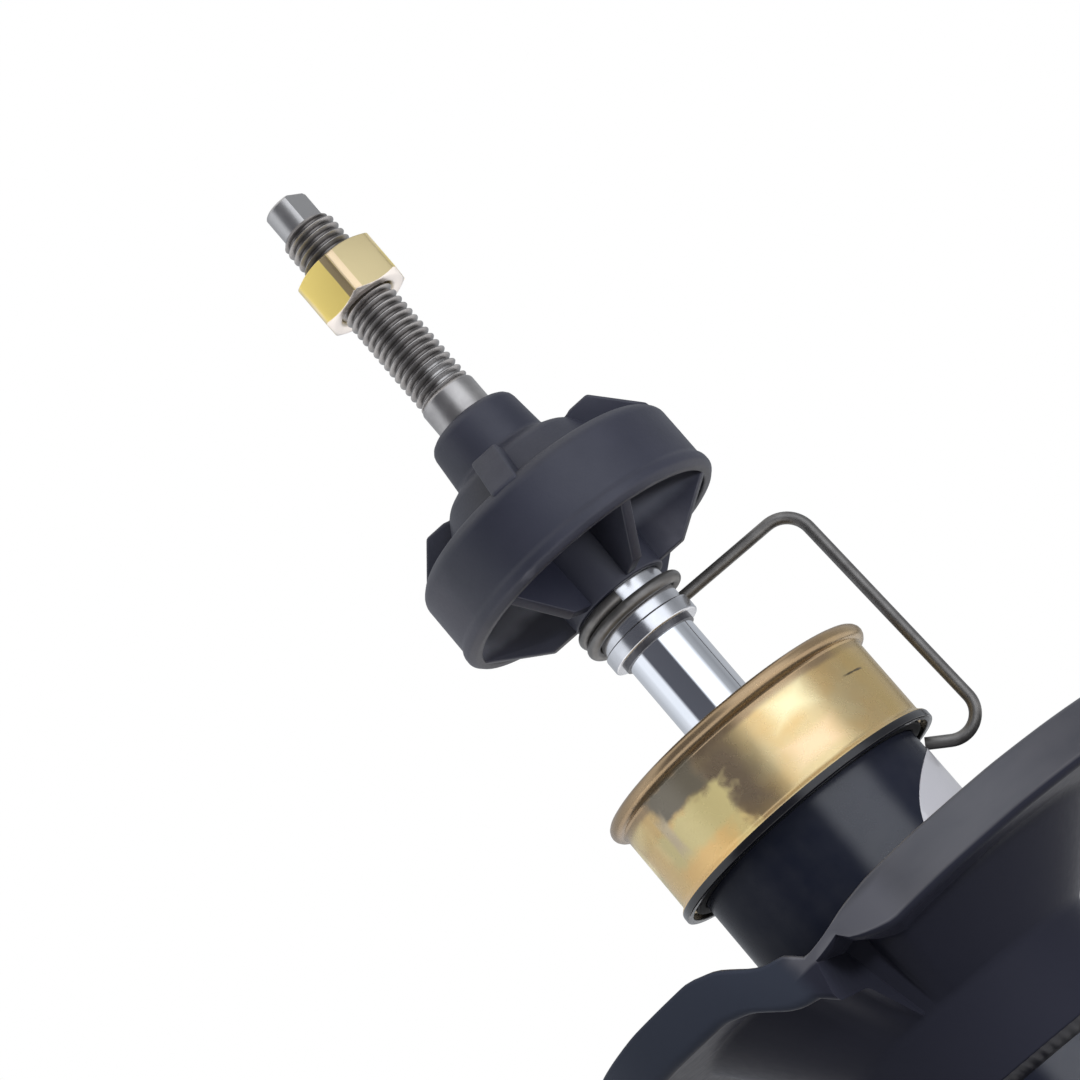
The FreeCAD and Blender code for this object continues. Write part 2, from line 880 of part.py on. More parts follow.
def cup_rib_plate():
    """One upper rib, standing on the shell from the hub to the shoulder, at the front."""
    top = tier_foot + cup_rib_rise
    root_r = cup_hub_r - cup_draft
    corners = [
        (root_r, cup_shoulder, 0),
        (cup_rib_foot_r, cup_shoulder - cup_chamfer, 0),
        (cup_rib_foot_r + cup_edge, cup_shoulder + cup_edge, cup_edge),
        (cup_rib_r, top, cup_round),
        (cup_tier_r + cup_draft, top, cup_edge),
        (cup_tier_r, tier_foot, 0),
        (root_r, tier_foot, 0),
    ]
    plate = outline_block(corners, -cup_rib / 2, cup_rib / 2)
    plate.rotate(at(0, 0, 0), at(0, 0, 1), -90)
    return placed(plate)


def cup_web_plate():
    """One lower web, from the hub's end out to the rim, at the front."""
    web_in = sleeve_r + slip + cup_edge
    web_out = cup_r - cup_wall / 2
    top = cup_shoulder - cup_top_sheet / 2
    corners = [
        (web_in, hub_bottom + cup_edge, 0),
        (cup_web_foot_r, hub_bottom + cup_edge, 0),
        (web_out, cup_rim + cup_edge, 0),
        (web_out, cup_rim + cup_bead_height, 0),
        (cup_r - cup_wall, top, 0),
        (web_in, top, 0),
    ]
    plate = outline_block(corners, -cup_web / 2, cup_web / 2)
    plate.rotate(at(0, 0, 0), at(0, 0, 1), -90)
    return placed(plate)


def make_bump_cup():
    pieces = []
    for n in range(cup_webs):
        pieces.append(around(cup_web_plate(), cup_web_turn + n * 360 / cup_webs))
    for n in range(cup_ribs):
        pieces.append(around(cup_rib_plate(), cup_rib_turn + n * 360 / cup_ribs))
    cup = cup_shell().fuse(pieces)
    bore = rod_piece(sleeve_r + slip, hub_bottom - past, rod_shoulder)
    return cup.cut(bore)


def make_top_nut():
    """A plain hexagon nut, with both faces' corners chamfered."""
    low = stud_bottom + nut_rise
    high = low + nut_height
    corner_r = nut_flats / 2 / math.cos(math.radians(30))
    face_r = nut_flats / 2 - nut_face_in
    turned_blank = turned([
        (stud_r + running, low, 0),
        (face_r, low, 0),
        (corner_r, low + nut_chamfer, 0),
        (corner_r, high - nut_chamfer, 0),
        (face_r, high, 0),
        (stud_r + running, high, 0),
    ])
    return turned_blank.common(hexagon(nut_flats, low, high))


pieces = {
    "outer_tube": make_outer_tube,
    "tube_base": make_tube_base,
    "spring_seat": make_spring_seat,
    "knuckle_bracket": make_knuckle_bracket,
    "bracket_brace": make_bracket_brace,
    "hose_bracket": make_hose_bracket,
    "top_cap": make_top_cap,
    "cap_ring": make_cap_ring,
    "pressure_tube": make_pressure_tube,
    "base_valve_body": make_base_valve_body,
    "base_valve_disc": make_base_valve_disc,
    "base_valve_pin": make_base_valve_pin,
    "rod_guide": make_rod_guide,
    "guide_bush": make_guide_bush,
    "rod_seal": make_rod_seal,
    "seal_spring": make_seal_spring,
    "guide_o_ring": make_guide_o_ring,
    "piston_rod": make_piston_rod,
    "piston": make_piston,
    "piston_band": make_piston_band,
    "piston_discs": make_piston_discs,
    "piston_plate": make_piston_plate,
    "piston_nut": make_piston_nut,
    "rebound_stop": make_rebound_stop,
    "rebound_bumper": make_rebound_bumper,
    "collar_ring": make_collar_ring,
    "stop_collar": make_stop_collar,
    "bump_cup": make_bump_cup,
    "top_nut": make_top_nut,
    "retaining_wire": make_retaining_wire,
}

os.makedirs("parts", exist_ok=True)
for name, make in pieces.items():
    shape = make()
    box = shape.BoundBox
    print(
        f"{name:18s} solids {len(shape.Solids)} valid {shape.isValid()} "
        f"volume {shape.Volume:9.0f} z {box.ZMin:7.1f} {box.ZMax:7.1f}"
    )
    shape.exportStep(f"parts/{name}.step")
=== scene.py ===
# %% [markdown]
# # A suspension strut
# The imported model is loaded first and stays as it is. Everything after it is dressing: new meshes
# where the real strut has a form that the plain solids leave out, such as a thread, and a finish
# on each piece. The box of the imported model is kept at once, so that it can be compared with the
# dressed one at the end.
# %% Load the frame
import math

import bpy
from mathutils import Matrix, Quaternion, Vector


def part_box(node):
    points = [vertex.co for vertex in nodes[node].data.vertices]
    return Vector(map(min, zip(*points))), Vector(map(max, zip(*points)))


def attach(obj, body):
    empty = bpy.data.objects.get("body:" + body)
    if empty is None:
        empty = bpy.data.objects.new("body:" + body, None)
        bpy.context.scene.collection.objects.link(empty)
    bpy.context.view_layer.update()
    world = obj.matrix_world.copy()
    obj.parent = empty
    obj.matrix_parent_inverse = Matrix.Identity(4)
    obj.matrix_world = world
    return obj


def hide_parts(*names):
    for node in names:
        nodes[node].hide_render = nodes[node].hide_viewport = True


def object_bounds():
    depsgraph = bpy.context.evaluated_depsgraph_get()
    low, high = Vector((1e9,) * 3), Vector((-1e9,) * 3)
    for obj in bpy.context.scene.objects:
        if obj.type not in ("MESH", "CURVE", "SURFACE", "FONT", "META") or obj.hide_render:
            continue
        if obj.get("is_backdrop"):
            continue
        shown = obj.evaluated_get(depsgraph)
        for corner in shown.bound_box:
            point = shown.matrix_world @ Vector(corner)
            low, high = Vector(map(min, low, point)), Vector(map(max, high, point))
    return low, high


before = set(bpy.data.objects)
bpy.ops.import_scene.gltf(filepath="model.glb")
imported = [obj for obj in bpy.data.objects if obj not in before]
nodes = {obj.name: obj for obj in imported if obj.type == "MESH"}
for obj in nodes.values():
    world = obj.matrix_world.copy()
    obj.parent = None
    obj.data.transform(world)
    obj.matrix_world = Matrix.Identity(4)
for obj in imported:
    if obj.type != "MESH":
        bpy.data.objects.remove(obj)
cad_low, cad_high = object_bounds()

mm = 0.001
tube_low, tube_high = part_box("outer_tube")
axis_x = (tube_low.x + tube_high.x) / 2
rod_low, rod_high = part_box("piston_rod")
cup_low, cup_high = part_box("bump_cup")
cap_low, cap_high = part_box("top_cap")
nut_low, nut_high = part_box("top_nut")
print(f"strut axis at x = {axis_x:.4f}, rod tip at z = {rod_high.z:.4f}")

# %% [markdown]
# ## Camera
# The photograph looks up at the strut by about 14 degrees and is rolled, so that the rod's tip
# points to the upper left. A camera that stands level in front and is turned about its own long
# axis does the same.
# %% Camera
camera_lens = 116.67                    # 3500 px on a 1080 px frame, with the usual 36 mm sensor
camera_rise = math.radians(13.9)
camera_roll = math.radians(-40.5)
camera_place = Vector((axis_x - 5.3 * mm, -777.6 * mm, 169.6 * mm))

camera_data = bpy.data.cameras.new("camera")
camera_data.lens = camera_lens
camera_data.clip_end = 20.0
camera = bpy.data.objects.new("camera", camera_data)
bpy.context.scene.collection.objects.link(camera)
camera.rotation_mode = "QUATERNION"
look_up = Quaternion(Vector((1, 0, 0)), math.pi / 2 + camera_rise)
roll = Quaternion(Vector((0, 0, 1)), camera_roll)
camera.rotation_quaternion = look_up @ roll
camera.location = camera_place
bpy.context.scene.camera = camera
bpy.context.scene.view_settings.view_transform = "Standard"

# %% [markdown]
# ## Wiring a material
# Every material, and the world, is a small graph of nodes. These helpers keep each graph
# readable. One fills a node's inputs, one adds a node, and the others do a sum, carry a range over
# to another, mix two colours, and tell which way round the strut a point lies.
# %% Node helpers
def set_all(thing, **settings):
    """Makes several settings at once, and returns what they are made on."""
    for name, value in settings.items():
        setattr(thing, name, value)
    return thing


def link(tree, start, end):
    tree.links.new(start, end)


def fill(tree, node, inputs):
    """Fills inputs, by name or number, with other nodes' outputs or with plain values."""
    for name, value in inputs.items():
        if isinstance(value, bpy.types.NodeSocket):
            link(tree, value, node.inputs[name])
        else:
            node.inputs[name].default_value = value


def add(tree, kind, inputs=None, **settings):
    """A new node of a kind, with its settings made and inputs filled."""
    node = set_all(tree.nodes.new(kind), **settings)
    fill(tree, node, inputs or {})
    return node


def calc(tree, operation, *values, **settings):
    """The result of a sum on plain numbers and outputs."""
    inputs = dict(enumerate(values))
    return add(tree, "ShaderNodeMath", inputs, operation=operation, **settings).outputs[0]


def remap(tree, value, low, high, to_low=0.0, to_high=1.0, **settings):
    """Carries what runs from low to high over to another range."""
    return add(tree, "ShaderNodeMapRange", {
        "Value": value, "From Min": low, "From Max": high, "To Min": to_low, "To Max": to_high,
    }, **settings).outputs["Result"]


def mix(tree, share, first, second):
    """A colour between two others."""
    inputs = {"Factor": share, 6: first, 7: second}
    return add(tree, "ShaderNodeMix", inputs, data_type="RGBA").outputs[2]


def new_material(name):
    """A new material and its graph."""
    material = bpy.data.materials.new(name)
    material.use_nodes = True
    return material, material.node_tree


def split(tree, vector):
    """The X, Y and Z outputs of a vector."""
    return add(tree, "ShaderNodeSeparateXYZ", {0: vector}).outputs


def object_place(tree):
    return add(tree, "ShaderNodeTexCoord").outputs["Object"]


def angle_round(tree, out_x, y):
    """The angle from the front towards +X."""
    return calc(tree, "ARCTAN2", out_x, calc(tree, "MULTIPLY", y, -1.0))


def direct_rays(tree):
    """One for what the camera, a mirror or glass sees, zero for the light that falls on things."""
    rays = add(tree, "ShaderNodeLightPath").outputs
    seen_or_mirrored = calc(tree, "MAXIMUM", rays["Is Camera Ray"], rays["Is Glossy Ray"])
    return calc(tree, "MAXIMUM", seen_or_mirrored, rays["Is Transmission Ray"])


# %% [markdown]
# ## Light
# Glossy paint and chrome are only as good as what they mirror. The studio had a bright soft box
# at the right and a dark flag in front at the left. A wide drum round the strut carries both as
# soft vertical bands. Only mirror-like rays see it, so it neither shades the strut nor shows in a
# picture. The world and the floor look white to the camera and to mirrors, but light surfaces
# only softly.
# %% World
world_level = 0.56

world = bpy.data.worlds.new("studio")
bpy.context.scene.world = world
world.use_nodes = True
tree = world.node_tree
tree.nodes.clear()
shed = add(tree, "ShaderNodeBackground", {
    "Color": (0.97, 0.98, 1.0, 1), "Strength": world_level,
}).outputs[0]
seen = add(tree, "ShaderNodeBackground", {"Color": (1, 1, 1, 1)}).outputs[0]
choice = add(tree, "ShaderNodeMixShader", {0: direct_rays(tree), 1: shed, 2: seen})
add(tree, "ShaderNodeOutputWorld", {"Surface": choice.outputs[0]})
print(f"world: white where it is seen, {world_level} where it lights")

# %% Floor
def object_mode():
    bpy.ops.object.mode_set(mode="OBJECT")


def clear_selection():
    """Leaves edit mode and drops the selection, so that the next step starts clean."""
    if bpy.context.mode != "OBJECT":
        object_mode()
    bpy.ops.object.select_all(action="DESELECT")


floor_gap = 2.5 * mm
floor_glow = 0.40                       # brings the floor to full white, its shadows apart
floor_z = cad_low.z - floor_gap

clear_selection()
bpy.ops.mesh.primitive_grid_add(
    x_subdivisions=4, y_subdivisions=4, size=8.0, location=(0, 0, floor_z)
)
floor = bpy.context.object
floor.name = "floor"
floor_finish, tree = new_material("floor")
seen_ray = direct_rays(tree)
fill(tree, tree.nodes["Principled BSDF"], {
    "Base Color": mix(tree, seen_ray, (0.30, 0.30, 0.31, 1), (0.95, 0.95, 0.95, 1)),
    "Roughness": 0.9,
    "Specular IOR Level": 0.0,
    "Emission Color": (1, 0.98, 0.98, 1),
    "Emission Strength": calc(tree, "MULTIPLY", seen_ray, floor_glow),
})
floor.data.materials.append(floor_finish)
floor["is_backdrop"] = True
print(f"floor at z = {floor_z:.4f}")

# %% Drum of soft bands
drum_r = 1.8
drum_height = 4.4
drum_middle = 0.5
flag_level = 0.2                        # a darker band is a flag, and bluer than the cards
bands = [                               # (angle from the front towards +X, brightness)
    (-180, 0.50), (-132, 0.62), (-100, 0.90), (-90, 1.10), (-66, 1.10), (-57, 0.12),
    (3, 0.11), (9, 1.55), (58, 1.55), (72, 0.50), (95, 0.36), (130, 0.55), (180, 0.50),
]

clear_selection()
bpy.ops.mesh.primitive_cylinder_add(
    vertices=96, radius=drum_r, depth=drum_height, end_fill_type="NOTHING",
    location=(axis_x, 0, drum_middle),
)
drum = bpy.context.object
drum.name = "drum"
drum_finish, tree = new_material("drum")
tree.nodes.clear()
parts = split(tree, object_place(tree))
turn = angle_round(tree, parts["X"], parts["Y"])
ramp = add(tree, "ShaderNodeValToRGB", {"Fac": remap(tree, turn, -math.pi, math.pi)})
brightest = max(level for _, level in bands)
stops = ramp.color_ramp.elements
for n, (angle, level) in enumerate(bands):
    at = (angle + 180) / 360
    stop = stops[n] if n < 2 else stops.new(at)
    stop.position = at
    shade = level / brightest
    blue = 1.18 if level < flag_level else 1.06
    stop.color = (shade * 0.96, shade, shade * blue, 1)
glow = add(tree, "ShaderNodeEmission", {"Color": ramp.outputs["Color"], "Strength": brightest})
add(tree, "ShaderNodeOutputMaterial", {"Surface": glow.outputs[0]})
drum.data.materials.append(drum_finish)
set_all(
    drum, visible_camera=False, visible_diffuse=False, visible_transmission=False,
    visible_shadow=False,
)
drum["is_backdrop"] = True
print(f"drum: {len(bands)} bands")

# %% [markdown]
# Three lamps model the round forms. The soft box at the right is the main one. An edge light at
# the left keeps that side from sinking, and a small low card lifts the underside of the cup.
# %% Lamps
def area_lamp(name, place, aim, width, height, watts):
    """A rectangular lamp that shows in no mirror, because the drum stands for it there."""
    data = bpy.data.lights.new(name, "AREA")
    set_all(data, shape="RECTANGLE", size=width, size_y=height, energy=watts)
    lamp = bpy.data.objects.new(name, data)
    lamp.location = place
    lamp.rotation_euler = (Vector(aim) - Vector(place)).to_track_quat("-Z", "Y").to_euler()
    lamp.visible_glossy = False
    bpy.context.scene.collection.objects.link(lamp)
    print(f"{name}: {watts} W")


area_lamp("soft_box", (axis_x + 1.05, -1.05, 0.70), (axis_x, 0, 0.33), 0.9, 1.4, 14.0)
area_lamp("edge_light", (axis_x - 1.3, -0.25, 0.50), (axis_x, 0, 0.35), 0.4, 1.2, 7.5)
area_lamp("low_card", (axis_x + 0.26, -0.42, 0.24), (axis_x, 0, 0.355), 0.16, 0.06, 1.3)

# %% [markdown]
# ## Tools for turned pieces
# Most of a strut is turned on a lathe or pressed round. A profile is drawn as a chain of points,
# its corners are rounded while it is still a line, and it is then spun about the strut's axis.
# Rounding the line first costs almost nothing and gives every edge the small radius that catches
# the light.
# %% Chain and corners
def edit_mode():
    bpy.ops.object.mode_set(mode="EDIT")


def select_only(piece):
    clear_selection()
    bpy.context.view_layer.objects.active = piece
    piece.select_set(True)


def select_mesh():
    bpy.ops.mesh.select_all(action="SELECT")


def merge_doubles(distance):
    select_mesh()
    bpy.ops.mesh.remove_doubles(threshold=distance * mm)


def turn_outward():
    select_mesh()
    bpy.ops.mesh.normals_make_consistent(inside=False)


def pick(piece, wanted):
    """Selects the points of a mesh that a test wants, and leaves the piece in edit mode."""
    edit_mode()
    bpy.ops.mesh.select_mode(type="VERT")
    bpy.ops.mesh.select_all(action="DESELECT")
    object_mode()
    for v in piece.data.vertices:
        v.select = wanted(v.co)
    edit_mode()


def chain(name, points):
    """A mesh of one open line of edges through the given points, left in edit mode."""
    clear_selection()
    bpy.ops.mesh.primitive_plane_add(size=mm, location=(0, 0, 0))
    piece = bpy.context.object
    piece.name = name
    piece.data.name = name
    edit_mode()
    bpy.ops.mesh.merge(type="CENTER")
    bpy.ops.transform.translate(value=points[0])
    for here, there in zip(points, points[1:]):
        step = Vector(there) - Vector(here)
        bpy.ops.mesh.extrude_region_move(TRANSFORM_OT_translate={"value": step})
    return piece


def round_corners(piece, corners, segments=4):
    """Rounds the corners of a chain. Each is a point and the length that its rounding takes."""
    near = 0.02 * mm
    for length in sorted({length for _, length in corners if length}):
        spots = [Vector(p) for p, own in corners if own == length]
        pick(piece, lambda co: any((co - spot).length < near for spot in spots))
        bpy.ops.mesh.bevel(
            offset=length, segments=segments, affect="VERTICES", offset_type="OFFSET"
        )
    select_mesh()


# %% Spin and plate
def turned(name, profile, steps=128, closed=True):
    """Spins a profile of (r, z, rounding) in mm about the strut's axis."""
    spots = [(axis_x + r * mm, 0, z * mm) for r, z, _ in profile]
    lengths = [length * mm for _, _, length in profile]
    piece = chain(name, spots + spots[:1] if closed else spots)
    merge_doubles(0.001)
    round_corners(piece, list(zip(spots, lengths)))
    bpy.ops.mesh.spin(steps=steps, angle=2 * math.pi, center=(axis_x, 0, 0), axis=(0, 0, 1))
    merge_doubles(0.002)
    turn_outward()
    object_mode()
    return piece


def slab(name, spots, move):
    """A closed outline, filled and pulled along a vector, left in edit mode."""
    piece = chain(name, spots + spots[:1])
    merge_doubles(0.001)
    bpy.ops.mesh.edge_face_add()
    bpy.ops.mesh.extrude_region_move(TRANSFORM_OT_translate={"value": move})
    turn_outward()
    return piece


def plate(name, corners, thickness, angle, edge):
    """A flat plate from (r, z) corners in mm, on end at an angle round the strut's axis."""
    out_way = Vector((math.sin(angle), -math.cos(angle), 0))
    side_way = Vector((math.cos(angle), math.sin(angle), 0))
    start = Vector((axis_x, 0, 0)) - side_way * thickness * mm / 2
    spots = [start + out_way * r * mm + Vector((0, 0, z * mm)) for r, z in corners]
    piece = slab(name, spots, side_way * thickness * mm)
    bpy.ops.mesh.bevel(offset=edge * mm, segments=3, affect="EDGES")
    object_mode()
    return piece


# %% Join, smooth, belong
def modify(piece, kind, **settings):
    """Gives a piece a modifier of a kind, and applies it."""
    modifier = set_all(piece.modifiers.new(kind.lower(), kind), **settings)
    select_only(piece)
    bpy.ops.object.modifier_apply(modifier=modifier.name)


def combine(piece, others, how):
    """Unites a piece with others, or keeps what is common. The others are used up."""
    for other in others:
        modify(piece, "BOOLEAN", operation=how, solver="EXACT", object=other)
        bpy.data.objects.remove(other)


def smooth(piece, degrees=32):
    select_only(piece)
    bpy.ops.object.shade_smooth_by_angle(angle=math.radians(degrees))
    bpy.ops.object.select_all(action="DESELECT")
    print(f"{piece.name}: {len(piece.data.polygons)} faces")


def belong(piece, body, slot, *replaced):
    """Attaches a piece to the body that it rides on and hides the plain solids that it stands for.
    The slot is not used.
    """
    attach(piece, body)
    if replaced:
        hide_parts(*replaced)


# %% [markdown]
# ## Rod and stud
# The rod is one bar on the real strut, but it has two finishes. Below the shoulder it is ground
# and chromed. Above it the stud is only turned and threaded, and stays grey. The thread is a
# sawtooth line that runs the whole length of the stud. The Screw modifier turns the line once
# round while it rises by one pitch, so each tooth meets the next one and a true helix results.
# %% Chromed bar
stud_tip = rod_high.z / mm
tip_length = 7.9
stud_length = 53.2
shank_length = 16.4
thread_high = stud_tip - tip_length
thread_low = thread_high - stud_length
shoulder = thread_low - shank_length
collar_low, collar_high = (corner.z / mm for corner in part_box("collar_ring"))
stop_low, stop_high = (corner.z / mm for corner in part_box("rebound_stop"))
tenon_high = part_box("piston_plate")[1].z / mm
rod_r = 9.0
tenon_r = 6.0
collar_groove_r = 8.3
stop_groove_r = 8.5

chromed_bar = turned("chromed_bar", [
    (0, rod_low.z / mm, 0),
    (tenon_r, rod_low.z / mm, 0.6),
    (tenon_r, tenon_high, 0),
    (rod_r, tenon_high, 0.3),
    (rod_r, stop_low, 0),
    (stop_groove_r, stop_low, 0),
    (stop_groove_r, stop_high, 0),
    (rod_r, stop_high, 0),
    (rod_r, collar_low, 0),
    (collar_groove_r, collar_low, 0),
    (collar_groove_r, collar_high, 0),
    (rod_r, collar_high, 0),
    (rod_r, shoulder, 0.4),
    (0, shoulder, 0),
], closed=False)
smooth(chromed_bar)
belong(chromed_bar, "rod", "chrome_rod", "piston_rod")

# %% Thread
pitch = 2.0
root_r = 5.8
crest_r = 6.96
thread_steps = 72


def tooth(z, crest):
    """One tooth of the thread as (r, z) points, with a rounded crest and a flat root."""
    return [
        (root_r, z), (root_r + 0.04, z + 0.42), (crest - 0.14, z + 1.08), (crest, z + 1.20),
        (crest, z + 1.32), (crest - 0.14, z + 1.44),
    ]


profile = [(0, thread_low - pitch)]
turns = int(stud_length / pitch) + 2
for n in range(turns):
    profile += tooth(thread_low - pitch + n * pitch, crest_r)
profile += [(root_r, thread_low + (turns - 1) * pitch), (0, thread_low + (turns - 1) * pitch)]
thread = chain("thread", [(r * mm, 0, z * mm) for r, z in profile])
object_mode()
modify(
    thread, "SCREW", angle=2 * math.pi, screw_offset=pitch * mm, iterations=1,
    steps=thread_steps, render_steps=thread_steps,
    use_merge_vertices=True, merge_threshold=0.002 * mm,
)
pick(thread, lambda co: True)
merge_doubles(0.002)
bpy.ops.mesh.fill_holes(sides=0)
turn_outward()
bpy.ops.transform.translate(value=(axis_x, 0, 0))
object_mode()
print(f"thread: {turns} teeth, {len(thread.data.polygons)} faces")

# %% Thread's ends and the tip
lead = 1.3
tip_r = 5.8
tip_flats = 8.0
tip_turn = math.radians(60)

envelope = turned("envelope", [
    (0, thread_low - 1.0, 0),
    (crest_r + 1, thread_low - 1.0, 0),
    (crest_r + 1, thread_high - lead, 0),
    (crest_r, thread_high - lead, 0),
    (tip_r, thread_high, 0),
    (0, thread_high, 0),
], closed=False)
combine(thread, [envelope], "INTERSECT")
tip = turned("tip", [
    (0, thread_high - 2.0, 0),
    (tip_r - 0.1, thread_high - 2.0, 0),
    (tip_r - 0.1, stud_tip, 0.8),
    (0, stud_tip, 0),
], closed=False)
for side in (0, math.pi):
    flat_way = Vector((math.sin(tip_turn + side), -math.cos(tip_turn + side), 0))
    pick(tip, lambda co: True)
    bpy.ops.mesh.bisect(
        plane_co=Vector((axis_x, 0, 0)) + flat_way * tip_flats / 2 * mm, plane_no=flat_way,
        use_fill=True, clear_outer=True,
    )
    object_mode()
print(f"tip: {len(tip.data.polygons)} faces, two flats")

# %% Shank and the whole stud
shank_r = 7.3
relief_r = 7.0
relief_height = 0.6
cup_top = cup_high.z / mm

machined_stud = turned("machined_stud", [
    (0, shoulder - 0.2, 0),
    (shank_r, shoulder - 0.2, 0),
    (shank_r, cup_top, 0),
    (relief_r, cup_top, 0),
    (relief_r, cup_top + relief_height, 0),
    (shank_r, cup_top + relief_height, 0.1),
    (shank_r, thread_low - 0.4, 0.5),
    (root_r, thread_low + 0.8, 0),
    (0, thread_low + 0.8, 0),
], closed=False)
combine(machined_stud, [thread, tip], "UNION")
smooth(machined_stud, 28)
belong(machined_stud, "rod", "chrome_rod", "piston_rod")

# %% [markdown]
# ## Nut
# A hexagon nut is a hexagonal prism and a double cone at once: what is common to both has the
# curved chamfers that every real nut shows on its corners. Its bore is cut wide at both mouths.
# %% Hexagonal prism
nut_flats = 21.0
nut_face_r = 10.2
nut_chamfer = 1.16
nut_bore_r = 7.05
nut_mouth = 0.9                         # how much wider the bore is at its mouths
nut_edge = 0.9
nut_bottom, nut_top = nut_low.z / mm, nut_high.z / mm
corner_r = nut_flats / 2 / math.cos(math.radians(30))

clear_selection()
bpy.ops.mesh.primitive_cylinder_add(
    vertices=6, radius=corner_r * mm, depth=nut_high.z - nut_low.z, location=(0, 0, 0)
)
hex_nut = bpy.context.object
hex_nut.name = "hex_nut"
hex_nut.data.name = "hex_nut"
pick(hex_nut, lambda co: True)
bpy.ops.transform.translate(value=(axis_x, 0, (nut_low.z + nut_high.z) / 2))
bpy.ops.mesh.select_mode(type="EDGE")
bpy.ops.mesh.select_all(action="DESELECT")
object_mode()
points = hex_nut.data.vertices
for edge in hex_nut.data.edges:
    ends = [points[n].co.z for n in edge.vertices]
    edge.select = abs(ends[0] - ends[1]) > mm
edit_mode()
bpy.ops.mesh.bevel(offset=nut_edge * mm, segments=4, affect="EDGES")
bpy.ops.mesh.select_mode(type="VERT")
object_mode()
print(f"prism: {len(hex_nut.data.polygons)} faces, {nut_flats} mm across flats")

# %% Chamfers and bore
cones = turned("cones", [
    (nut_bore_r, nut_bottom + nut_mouth, 0),
    (nut_bore_r + nut_mouth, nut_bottom, 0),
    (nut_face_r, nut_bottom, 0),
    (corner_r + 0.1, nut_bottom + nut_chamfer, 0),
    (corner_r + 0.1, nut_top - nut_chamfer, 0),
    (nut_face_r, nut_top, 0),
    (nut_bore_r + nut_mouth, nut_top, 0),
    (nut_bore_r, nut_top - nut_mouth, 0),
], steps=96)
combine(hex_nut, [cones], "INTERSECT")
modify(
    hex_nut, "BEVEL", width=0.22 * mm, segments=2, limit_method="ANGLE",
    angle_limit=math.radians(25), use_clamp_overlap=False,
)
smooth(hex_nut, 25)
belong(hex_nut, "nut", "yellow_zinc_nut", "top_nut")

# %% [markdown]
# ## Moulded cup
# The dark cup is one moulding: a turned shell with a tapered hub, four ribs that lean on the hub
# from above, and six thin webs that hold the shell from below. The shell is spun, ribs and webs
# are plates with softened edges, and a union makes them one body, as the mould did.
# %% Cup's shell
hub_bottom = cup_low.z / mm
hub_top = cup_high.z / mm
hub_r = 12.6
hub_top_r = 11.6
hub_height = 12.5
hub_round = 2.6
bore_r = 11.0
shank_hole_r = 7.4
cup_r = 35.2
cup_wall = 2.6
cup_bead = 0.7
cup_bead_height = 4.6
cup_bead_chamfer = 1.4
cup_rim = hub_bottom + 9.2
cup_shoulder = cup_rim + 19.5
cup_ceiling = cup_shoulder - 3.0
cup_inner_r = cup_r - cup_wall
tier_r = 18.2
tier_foot_r = 23.2
hub_foot = hub_top - hub_height
tier_foot = hub_foot - 2.8

moulded_cup = turned("moulded_cup", [
    (shank_hole_r, hub_top, 0.4),
    (shank_hole_r, shoulder, 0),
    (bore_r, shoulder, 0),
    (bore_r, hub_bottom, 0.3),
    (hub_r, hub_bottom, 0.5),
    (hub_r + 1.2, cup_ceiling, 1.6),
    (cup_inner_r - 3, cup_ceiling, 1.4),
    (cup_inner_r, cup_ceiling - 3, 1.4),
    (cup_inner_r, cup_rim, 0.5),
    (cup_r + cup_bead - cup_bead_chamfer, cup_rim, 0.4),
    (cup_r + cup_bead, cup_rim + cup_bead_chamfer, 0.5),
    (cup_r + cup_bead, cup_rim + cup_bead_height - 1.4, 0.5),
    (cup_r, cup_rim + cup_bead_height, 0.4),
    (cup_r, cup_shoulder - 1.3, 1.2),
    (cup_r - 2.6, cup_shoulder + 1.3, 1.2),
    (tier_foot_r, cup_shoulder + 2.6, 2.0),
    (tier_r, tier_foot, 1.6),
    (hub_r, hub_foot, 1.2),
    (hub_top_r, hub_top, hub_round),
], steps=144)
print(f"shell: {len(moulded_cup.data.polygons)} faces")

# %% Ribs and webs
ribs = 4
rib_turn = math.radians(-6)
rib_width = 7.2
rib_edge = 0.7
rib_top = tier_foot + 0.5
webs = 6
web_turn = math.radians(26)
web_width = 2.8
web_edge = 0.35
web_foot_r = 19.5

extras = []
for n in range(ribs):
    extras.append(plate("rib", [
        (hub_r - 1.2, cup_shoulder),
        (33.4, cup_shoulder - 2.6),
        (34.0, cup_shoulder + 0.6),
        (24.8, rib_top),
        (tier_r + 1.2, rib_top),
        (tier_r, tier_foot),
        (hub_r - 1.2, tier_foot),
    ], rib_width, rib_turn + n * 2 * math.pi / ribs, rib_edge))
for n in range(webs):
    extras.append(plate("web", [
        (bore_r + 0.8, hub_bottom + 0.6),
        (web_foot_r, hub_bottom + 0.6),
        (cup_r - 1.3, cup_rim + 0.6),
        (cup_r - 1.3, cup_rim + 4.0),
        (cup_inner_r, cup_shoulder - 1.5),
        (bore_r + 0.8, cup_shoulder - 1.5),
    ], web_width, web_turn + n * 2 * math.pi / webs, web_edge))
combine(moulded_cup, extras, "UNION")
smooth(moulded_cup, 34)
belong(moulded_cup, "rod", "moulded_plastic", "bump_cup")

